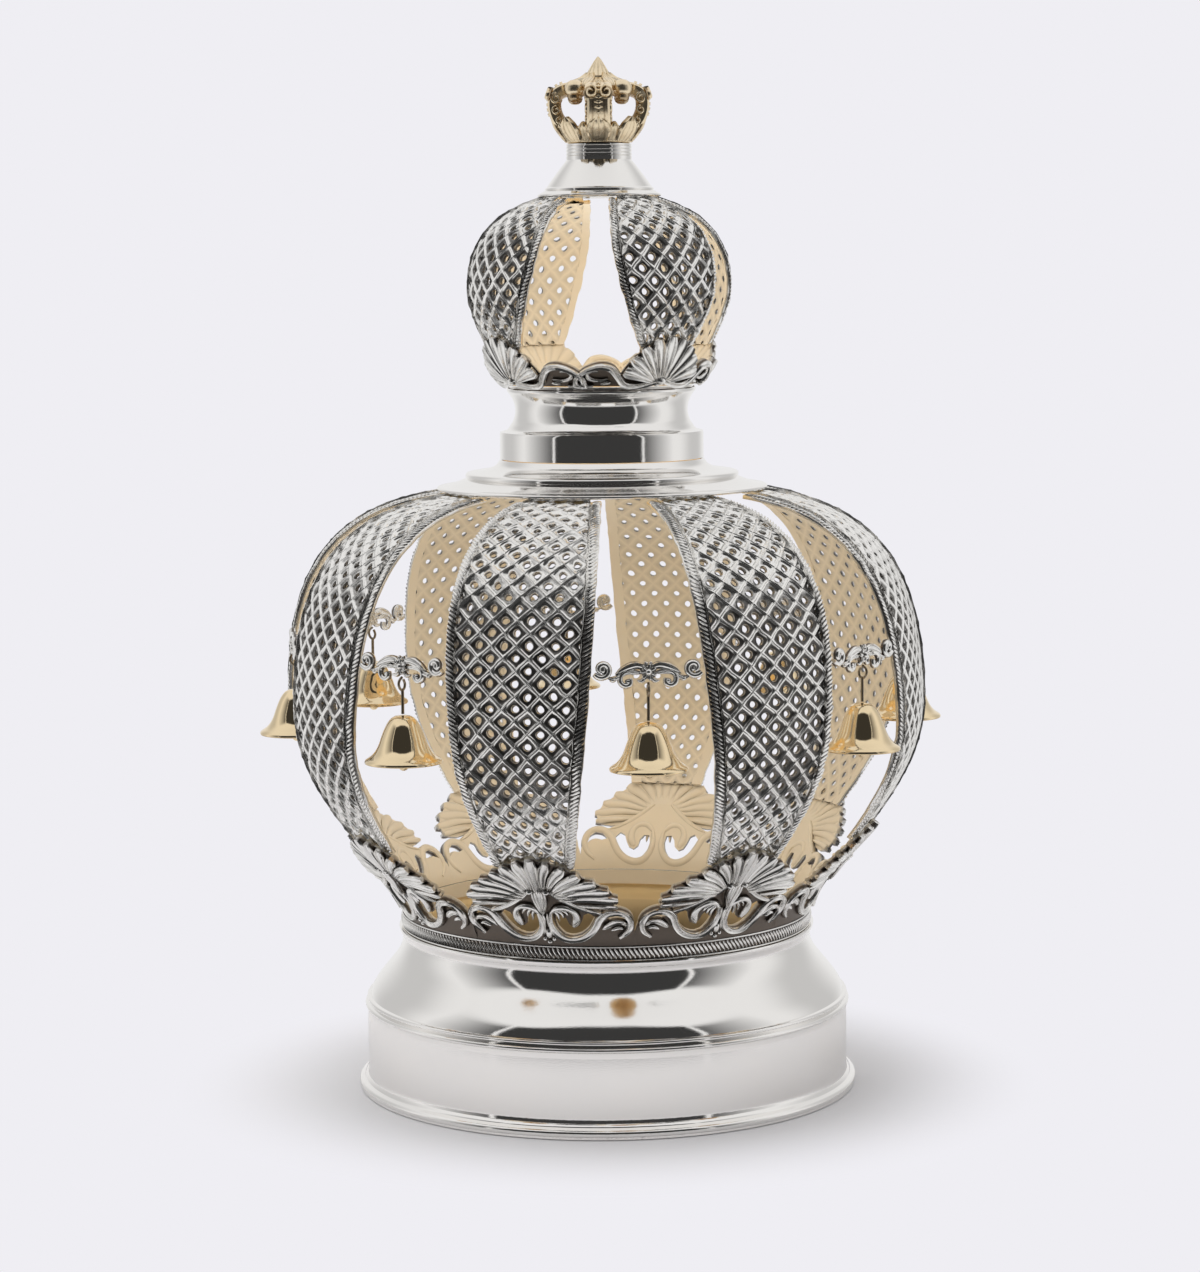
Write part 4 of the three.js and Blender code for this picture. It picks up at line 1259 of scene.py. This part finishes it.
# %% One hook, bell and clapper
# %% One hook, bell and clapper
def wire(points, radius, count=40, spokes=8):
    line = smooth_line(points, count)
    along = directions(line)
    ups = np.tile([0.0, -1.0, 0.0], (count, 1))
    ups -= along * np.sum(ups * along, axis=1)[:, None]
    ups /= np.linalg.norm(ups, axis=1)[:, None]
    sides = np.cross(ups, along)
    rows = [line + sides * radius * math.cos(a) + ups * radius * math.sin(a)
            for a in even_turns(spokes)]
    ends = [range(spokes)[::-1], range((count - 1) * spokes, count * spokes)]
    points = np.stack(rows, axis=1).reshape(-1, 3)
    return shape(points, flipped(skin(count, spokes)) + ends, 0.7)


y = -hang
hook_low, hook_high = heights("hook_1")
top = hook_high - 0.1
eye = [(0, y - 0.1, top), (0, y - 1.7, top - 1.2), (0, y - 2.1, top - 3.0), (0, y - 0.9, top - 4.8),
       (0, y + 0.9, top - 4.6), (0, y + 1.5, top - 2.8), (0, y + 0.7, top - 1.0)]
shank = [(0, y, top - 4.6), (0.05, y, top - 8.0), (0, y, hook_low + 0.05)]
hook_piece = as_object("hook_pattern", [wire(eye, 0.52, 36), wire(shank, 0.62, 16)])

bell_low, bell_high = heights("bell_1")
bell_tall = bell_high - bell_low
outer = trace(
    (15.2, 0.5), (15.15, 1.0), (14.7, 1.6), (13.6, 2.3),
    curve_points([(13.6, 2.3), (10.9, 3.9), (9.6, 7.0), (8.7, 10.0)], 12),
    curve_points([(8.7, 10.0), (7.6, 12.9), (6.6, 15.8), (4.6, 17.7)], 8),
    (3.2, 18.5), (1.6, 18.85), (0, bell_tall), lift=bell_low,
)
inner = trace(
    (0, bell_tall - 1.2), (1.8, bell_tall - 1.4), (3.8, bell_tall - 2.5), (5.8, bell_tall - 5.2),
    (7.6, 9.6), (8.7, 6.6), (10.4, 3.7), (13.0, 1.5), (13.9, 0.6), (14.5, 0.02), (15.0, 0.12),
    lift=bell_low,
)
bell_shape = turned([(r, z, 0) for r, z in outer] + [(r, z, 1) for r, z in inner], 56)
bell_piece = as_object("bell_pattern", [moved(bell_shape, lambda p: p + [0, y, 0])])

clapper_low, clapper_high = heights("clapper_1")
BALL = 2.1
drop_line = trace(
    (0, 0), [(BALL * math.sin(a), BALL - BALL * math.cos(a)) for a in np.linspace(0.3, 2.2, 7)],
    (1.0, 4.4), (0.6, 5.4), (0.55, clapper_high - clapper_low), (0, clapper_high - clapper_low),
    lift=clapper_low,
)
clapper_shape = turned([(r, z, 0) for r, z in drop_line], 16)
clapper_piece = as_object("clapper_pattern", [moved(clapper_shape, lambda p: p + [0, y, 0])])

sets = (("link", link_piece, chased_silver, "dark_silver"),
        ("hook", hook_piece, dark_wire, "bronze_wire"),
        ("bell", bell_piece, gilt_bright, "gold"), ("clapper", clapper_piece, gilt_bright, "gold"))
for word, pattern, finish, slot in sets:
    for number in range(8):
        copy = turned_copy(pattern, f"{word}_{number + 1}_fine", GAP + number * math.pi / 4)
        finish_piece(copy, finish, f"{word}_{number + 1}", crease=50)
    drop(pattern)
print("bells hang", round(hang, 1), "mm from the axis")


# ## The finial
# The gilt finial is a small open crown: a calyx of leaves, four bowed arms that end in pairs of
# volutes under the roof, a drop between each two arms and a ribbed roof with a spire. Leaf and
# arm are flat bars again, this time carried along an upright line.

# %% Calyx, arms, drops and roof
finial_low, finial_high = heights("finial")
tall = finial_high - finial_low


def upright(line, widths, rises, section, under, azimuth, count=18):
    """A bar carried along (radius, height) points, standing at this azimuth."""
    p = smooth_line(line, count)
    along = directions(p)
    centres = np.column_stack([np.zeros(count), -p[:, 0], finial_low + p[:, 1]])
    sides = np.tile([-1.0, 0.0, 0.0], (count, 1))
    ups = np.column_stack([np.zeros(count), -along[:, 1], -along[:, 0]])
    t = np.linspace(0, 1, count)
    widths = np.interp(t, np.linspace(0, 1, len(widths)), widths)
    bar = carried(centres, sides, ups, widths, np.full(count, float(rises)), section, under)
    return turned_by(bar, azimuth)


LEAF = [(-1, 0, 0.1), (-0.8, 0.75, 0.9), (-0.5, 0.4, 0.3), (-0.22, 0.85, 0.95), (0, 0.55, 0.4),
        (0.22, 0.85, 0.95),
        (0.5, 0.4, 0.3), (0.8, 0.75, 0.9), (1, 0, 0.1)]
leaf_line = [(12.9, 0.8), (15.2, 3.2), (17.6, 6.6), (18.9, 10.2)]
small_line = [(12.6, 0.8), (14.6, 3.0), (16.4, 5.8), (17.2, 8.2)]
finial_unit = [
    upright(leaf_line, [3.4, 4.8, 5.2, 4.4, 1.2], 1.0, LEAF, 1.3, 0.0),
    upright(leaf_line, [3.4, 4.6, 5.0, 4.0, 1.0], 1.0, LEAF, 1.3, math.pi / 4),
    upright(small_line, [2.4, 3.2, 3.2, 2.6, 0.5], 0.8, LEAF, 1.0, math.pi / 8),
    upright(small_line, [2.4, 3.2, 3.2, 2.6, 0.5], 0.8, LEAF, 1.0, -math.pi / 8),
]
arm = [(16.6, 6.6), (18.6, 9.6), (19.8, 13.0), (20.1, 16.4), (19.6, 19.4), (17.9, 21.8),
       (15.0, 23.4), (11.6, 24.2)]
ARM = [(u, v, max(shade, 0.7 if abs(u) == 1 else 0.3)) for u, v, shade in LEAF]
finial_unit.append(upright(arm, [4.8, 4.8, 4.7, 4.6, 5.0, 5.6, 5.2, 3.6], 1.0, ARM, 4.8, 0.0, 34))
for radius, height, size in ((17.3, 18.2, 2.4), (17.2, 13.4, 1.9), (16.0, 9.2, 1.4)):
    scroll = coil((0, 0), size, size * 0.35, 1.15, 90, 0.6, 1.0, 0.0, 20)
    for part, side in ((scroll, -1), (mirrored(scroll), 1)):
        p = part["points"]
        placed = np.column_stack([side * (4.6 + p[:, 2]), -radius - p[:, 0],
                                  finial_low + height + p[:, 1]])
        finial_unit.append({**part, "points": placed})
arm_points = smooth_line(arm, 60)
for number in range(5):
    p, q = arm_points[14 + 5 * number], arm_points[15 + 5 * number]
    finial_unit.append(upright([tuple(p), tuple(q + (q - p) * 2.2)], [0.6, 2.4, 0.9], 1.3, ROUND,
                               0.2, 0.0, 6))
for number in range(4):
    p, q = arm_points[34 + 5 * number], arm_points[37 + 5 * number]
    finial_unit.append(upright([tuple(p), tuple(q)], [0.5, 1.3, 0.6], 1.8, ROUND, 0.2, 0.0, 7))
volute = coil((3.1, 0), 2.7, 0.7, 1.25, 90, 0.62, 1.7, 0.0, 28)
disc = boss((3.1, 0), (2.9, 2.9), 0.7, -0.2, 0.15, 3, 14)
for part in pair(volute, disc):
    p = part["points"]
    tilted = np.column_stack([p[:, 0], -(20.0 + p[:, 2] * 0.95 - p[:, 1] * 0.3),
                              finial_low + 19.9 + p[:, 1] * 0.95 + p[:, 2] * 0.3])
    finial_unit.append({**part, "points": tilted})
drop_line = [(0, 16.2, 0), (1.5, 16.4, 0), (2.6, 17.2, 0), (3.1, 18.4, 0), (3.0, 19.3, 0),
             (3.8, 19.9, 0), (4.3, 21.3, 0),
             (4.1, 22.9, 0), (3.2, 24.4, 0), (1.7, 25.3, 0), (0, 25.5, 0)]
bud = turned([(r, finial_low + z, g) for r, z, g in drop_line], 18)
# Painted shade: the lower part of each drop is darkened, below 21 mm over the finial's foot.
bud["relief"] = np.clip((bud["points"][:, 2] - finial_low - 18.5) / 2.5, 0.15, 1)
finial_unit.append(turned_by(moved(bud, lambda p: p + [0, -13.6, 0]), math.pi / 4))
roof_leaf = [(14.4, 23.3), (11.2, 25.0), (7.6, 26.4), (5.0, 28.4)]
for azimuth in (math.pi / 8, -math.pi / 8, math.pi / 4):
    finial_unit.append(upright(roof_leaf, [1.6, 2.6, 1.9, 0.5], 0.7, LEAF, 0.8, azimuth, 14))
finial_object = as_object("finial_gilt", finial_unit)
run_tree(finial_object, ring_tree, Count=4, First_turn=math.radians(15), Finish=gilt_work)

roof = [(0, 21.4), (9.0, 21.6), (13.6, 22.4), (14.4, 23.0), (14.2, 23.7), (12.2, 24.5), (9.2, 25.6),
        (6.6, 26.6), (6.5, 27.3), (5.6, 27.6),
        (4.2, 29.0), (2.9, 31.3), (1.6, 33.5), (0.6, 34.9), (0, tall)]
roof_shape = turned([(r, finial_low + z, 0) for r, z in roof], 48)
p = roof_shape["points"]
angles = np.arctan2(p[:, 0], -p[:, 1])
groove = np.cos(angles * 12) * np.clip((p[:, 2] - finial_low - 23) / 2, 0, 1) * 0.07
roof_shape["points"] = p * np.column_stack([1 + groove, 1 + groove, np.ones(len(p))])
roof_shape["relief"] = np.clip(0.75 + groove * 6, 0, 1)
collar = turned([(0, finial_low, 0), (12.8, finial_low, 0), (13.3, finial_low + 0.5, 0),
                 (13.3, finial_low + 1.1, 0),
                 (12.3, finial_low + 1.7, 0), (12.9, finial_low + 3.0, 0),
                 (11.4, finial_low + 3.6, 0), (0, finial_low + 3.2, 0)], 48)
rest = as_object("finial_rest", [roof_shape, collar])
with bpy.context.temp_override(active_object=finial_object,
                               selected_editable_objects=[finial_object, rest]):
    bpy.ops.object.join()
finish_piece(finial_object, gilt_work, "finial", crease=50)


# %% [markdown]
# %% [markdown]
# ## Floor, light and camera
# The crown stands on pale paper, which fades into a plain ground: for the camera close by, for
# reflections further out. It stands in a light tent, white all round, with a dark opening at the
# camera and a graded screen on each side of it, which leave a thin bright seam between them. A
# mirror of silver shows exactly that. The camera itself sees the plain pale ground instead,
# through Light Path. Two small lamps inside the domes stand for the light that the gilt inner
# sides throw at each other.

# %% Floor
def pale(colour):
    """The linear colour of a screen colour."""
    return tuple(((c / 255 + 0.055) / 1.055) ** 2.4 for c in colour) + (1,)


BACKDROP = pale((239, 238, 243))
FLOOR_RINGS, FLOOR_SPOKES, FLOOR_LEVEL = (0.15, 0.3, 0.6, 1.2, 2.2), 64, -0.0002
floor_points = [(0, 0, FLOOR_LEVEL)]
for radius in FLOOR_RINGS:
    floor_points += [(radius * math.sin(a), -radius * math.cos(a), FLOOR_LEVEL)
                     for a in even_turns(FLOOR_SPOKES)]
floor_mesh = bpy.data.meshes.new("floor")
floor_mesh.from_pydata(floor_points, [], capped_skin(len(FLOOR_RINGS),
                                                     FLOOR_SPOKES)[:-FLOOR_SPOKES])
linked("floor", floor_mesh)

ground_finish = bpy.data.materials.new("pale floor")
ground_finish.use_nodes = True
tree = ground_finish.node_tree
tree.nodes.clear()
where = add_node(tree, "ShaderNodeTexCoord").outputs["Object"]
away = add_node(tree, "ShaderNodeVectorMath", {0: where}, operation="LENGTH").outputs["Value"]
seen = add_field(tree, "ShaderNodeLightPath", output="Is Camera Ray")
paper = add_node(tree, "ShaderNodeBsdfDiffuse", {"Color": (0.93, 0.925, 0.945, 1)})
glow = add_node(tree, "ShaderNodeEmission", {"Color": BACKDROP, "Strength": 1.0})
gone = add_node(tree, "ShaderNodeBsdfTransparent")
beyond = add_node(tree, "ShaderNodeMixShader", {0: seen, 1: gone, 2: glow})
fade = ramp(tree, away, seen * -0.11 + 0.205, seen * -0.115 + 0.3)
add_node(tree, "ShaderNodeOutputMaterial", {
    0: add_node(tree, "ShaderNodeMixShader", {0: fade, 1: paper, 2: beyond})})
floor_mesh.materials.append(ground_finish)


# %% Light tent
CAMERA_TURN = math.radians(15)
world = bpy.data.worlds.new("light tent")
bpy.context.scene.world = world
world.use_nodes = True
tree = world.node_tree
tree.nodes.clear()
x, y, z = split(tree, add_node(tree, "ShaderNodeTexCoord").outputs["Generated"])
ahead = x * math.sin(CAMERA_TURN) - y * math.cos(CAMERA_TURN)
beside = x * math.cos(CAMERA_TURN) + y * math.sin(CAMERA_TURN)
IN_DEGREES = 180 / math.pi
bearing = beside.does("ARCTAN2", ahead) * IN_DEGREES
climb = z.does("ARCTAN2", (x * x + y * y).does("SQRT")) * IN_DEGREES


def between(value, low, high, soft):
    """1 between two values in degrees and 0 outside, with edges this soft."""
    return (ramp(tree, value, low - soft, low + soft)
            * ramp(tree, value, high - soft, high + soft, 1.0, 0.0))


aside = abs(bearing)
arch = ramp(tree, aside, 10, 60, 56, 44)
opening = (between(bearing, -54, 46, 0.86) * between(climb - arch, -110, 0, 2.86)
           * between(climb, -32, 80, 3.44))
screens = [(opening, 0.95)]
for side, near, far in ((-1, 57, 98), (1, 49, 88)):
    out = bearing * side
    shade = ramp(tree, out, near, far, 1.0, 0.0, soft=False) * (out > near)
    screens.append((shade * between(climb, -30, 43, 5.7), 0.88))
screens.append((between(aside, 110, 150, 14.3) * between(climb, -30, 38, 11.5), 0.3))
light = ramp(tree, climb, 58, 85, 1.0, 0.92, soft=False)
for screen, depth in screens:
    light = light * (1.0 - screen * depth)
tent = add_node(tree, "ShaderNodeBackground", {
    "Color": (1.0, 0.995, 0.99, 1), "Strength": light * 0.84})
plain = add_node(tree, "ShaderNodeBackground", {"Color": BACKDROP, "Strength": 1.0})
seen = add_node(tree, "ShaderNodeLightPath").outputs["Is Camera Ray"]
add_node(tree, "ShaderNodeOutputWorld", {
    0: add_node(tree, "ShaderNodeMixShader", {0: seen, 1: tent, 2: plain})})


# %% Lamps
def lamp(name, kind, power, place):
    data = bpy.data.lights.new(name, kind)
    data.energy = power
    piece = linked(name, data)
    piece.location = place
    piece.visible_glossy = False
    return piece


softbox = lamp("overhead softbox", "AREA", 7.0, (-0.25, -0.35, 1.5))
softbox.data.shape = "DISK"
softbox.data.size = 1.3
softbox.rotation_euler = (math.radians(14), math.radians(-9), 0)
for name, height, power, size in (("fill in the dome", 0.17, 0.15, 0.045),
                                  ("fill in the upper dome", 0.335, 0.04, 0.015)):
    fill = lamp(name, "POINT", power, (0, 0, height))
    fill.data.color = (1.0, 0.97, 0.92)
    fill.data.shadow_soft_size = size
    fill.visible_camera = False


# %% Camera
FRAME_HEIGHT = 1272  # of the photograph, in pixels
FOCAL_LENGTH = 3340.9  # in the same pixels, from the outlines of the crown's level rings
DISTANCE, EYE_HEIGHT = 1.3895, 0.3432
camera_data = bpy.data.cameras.new("camera")
camera_data.sensor_fit = "AUTO"
camera_data.sensor_width = 36
camera_data.lens = 36 * FOCAL_LENGTH / FRAME_HEIGHT
camera = linked("camera", camera_data)
camera.location = (DISTANCE * math.sin(CAMERA_TURN), -DISTANCE * math.cos(CAMERA_TURN), EYE_HEIGHT)
view = (Matrix.Rotation(CAMERA_TURN + 0.00108, 4, "Z")
        @ Matrix.Rotation(math.pi / 2 - 0.111, 4, "X")
        @ Matrix.Rotation(math.radians(-0.56), 4, "Z"))
camera.rotation_euler = view.to_euler()
bpy.context.scene.camera = camera
bpy.context.scene.view_settings.view_transform = "Standard"


# %% [markdown]
# ## Triangle counts
# The triangles of the eight largest pieces, and of all of them together, are printed.

# %% Sizes, and the end
for name, count in sorted(made, key=lambda item: -item[1])[:8]:
    print(name, count, "triangles")
print("triangles in all:", sum(count for _, count in made))
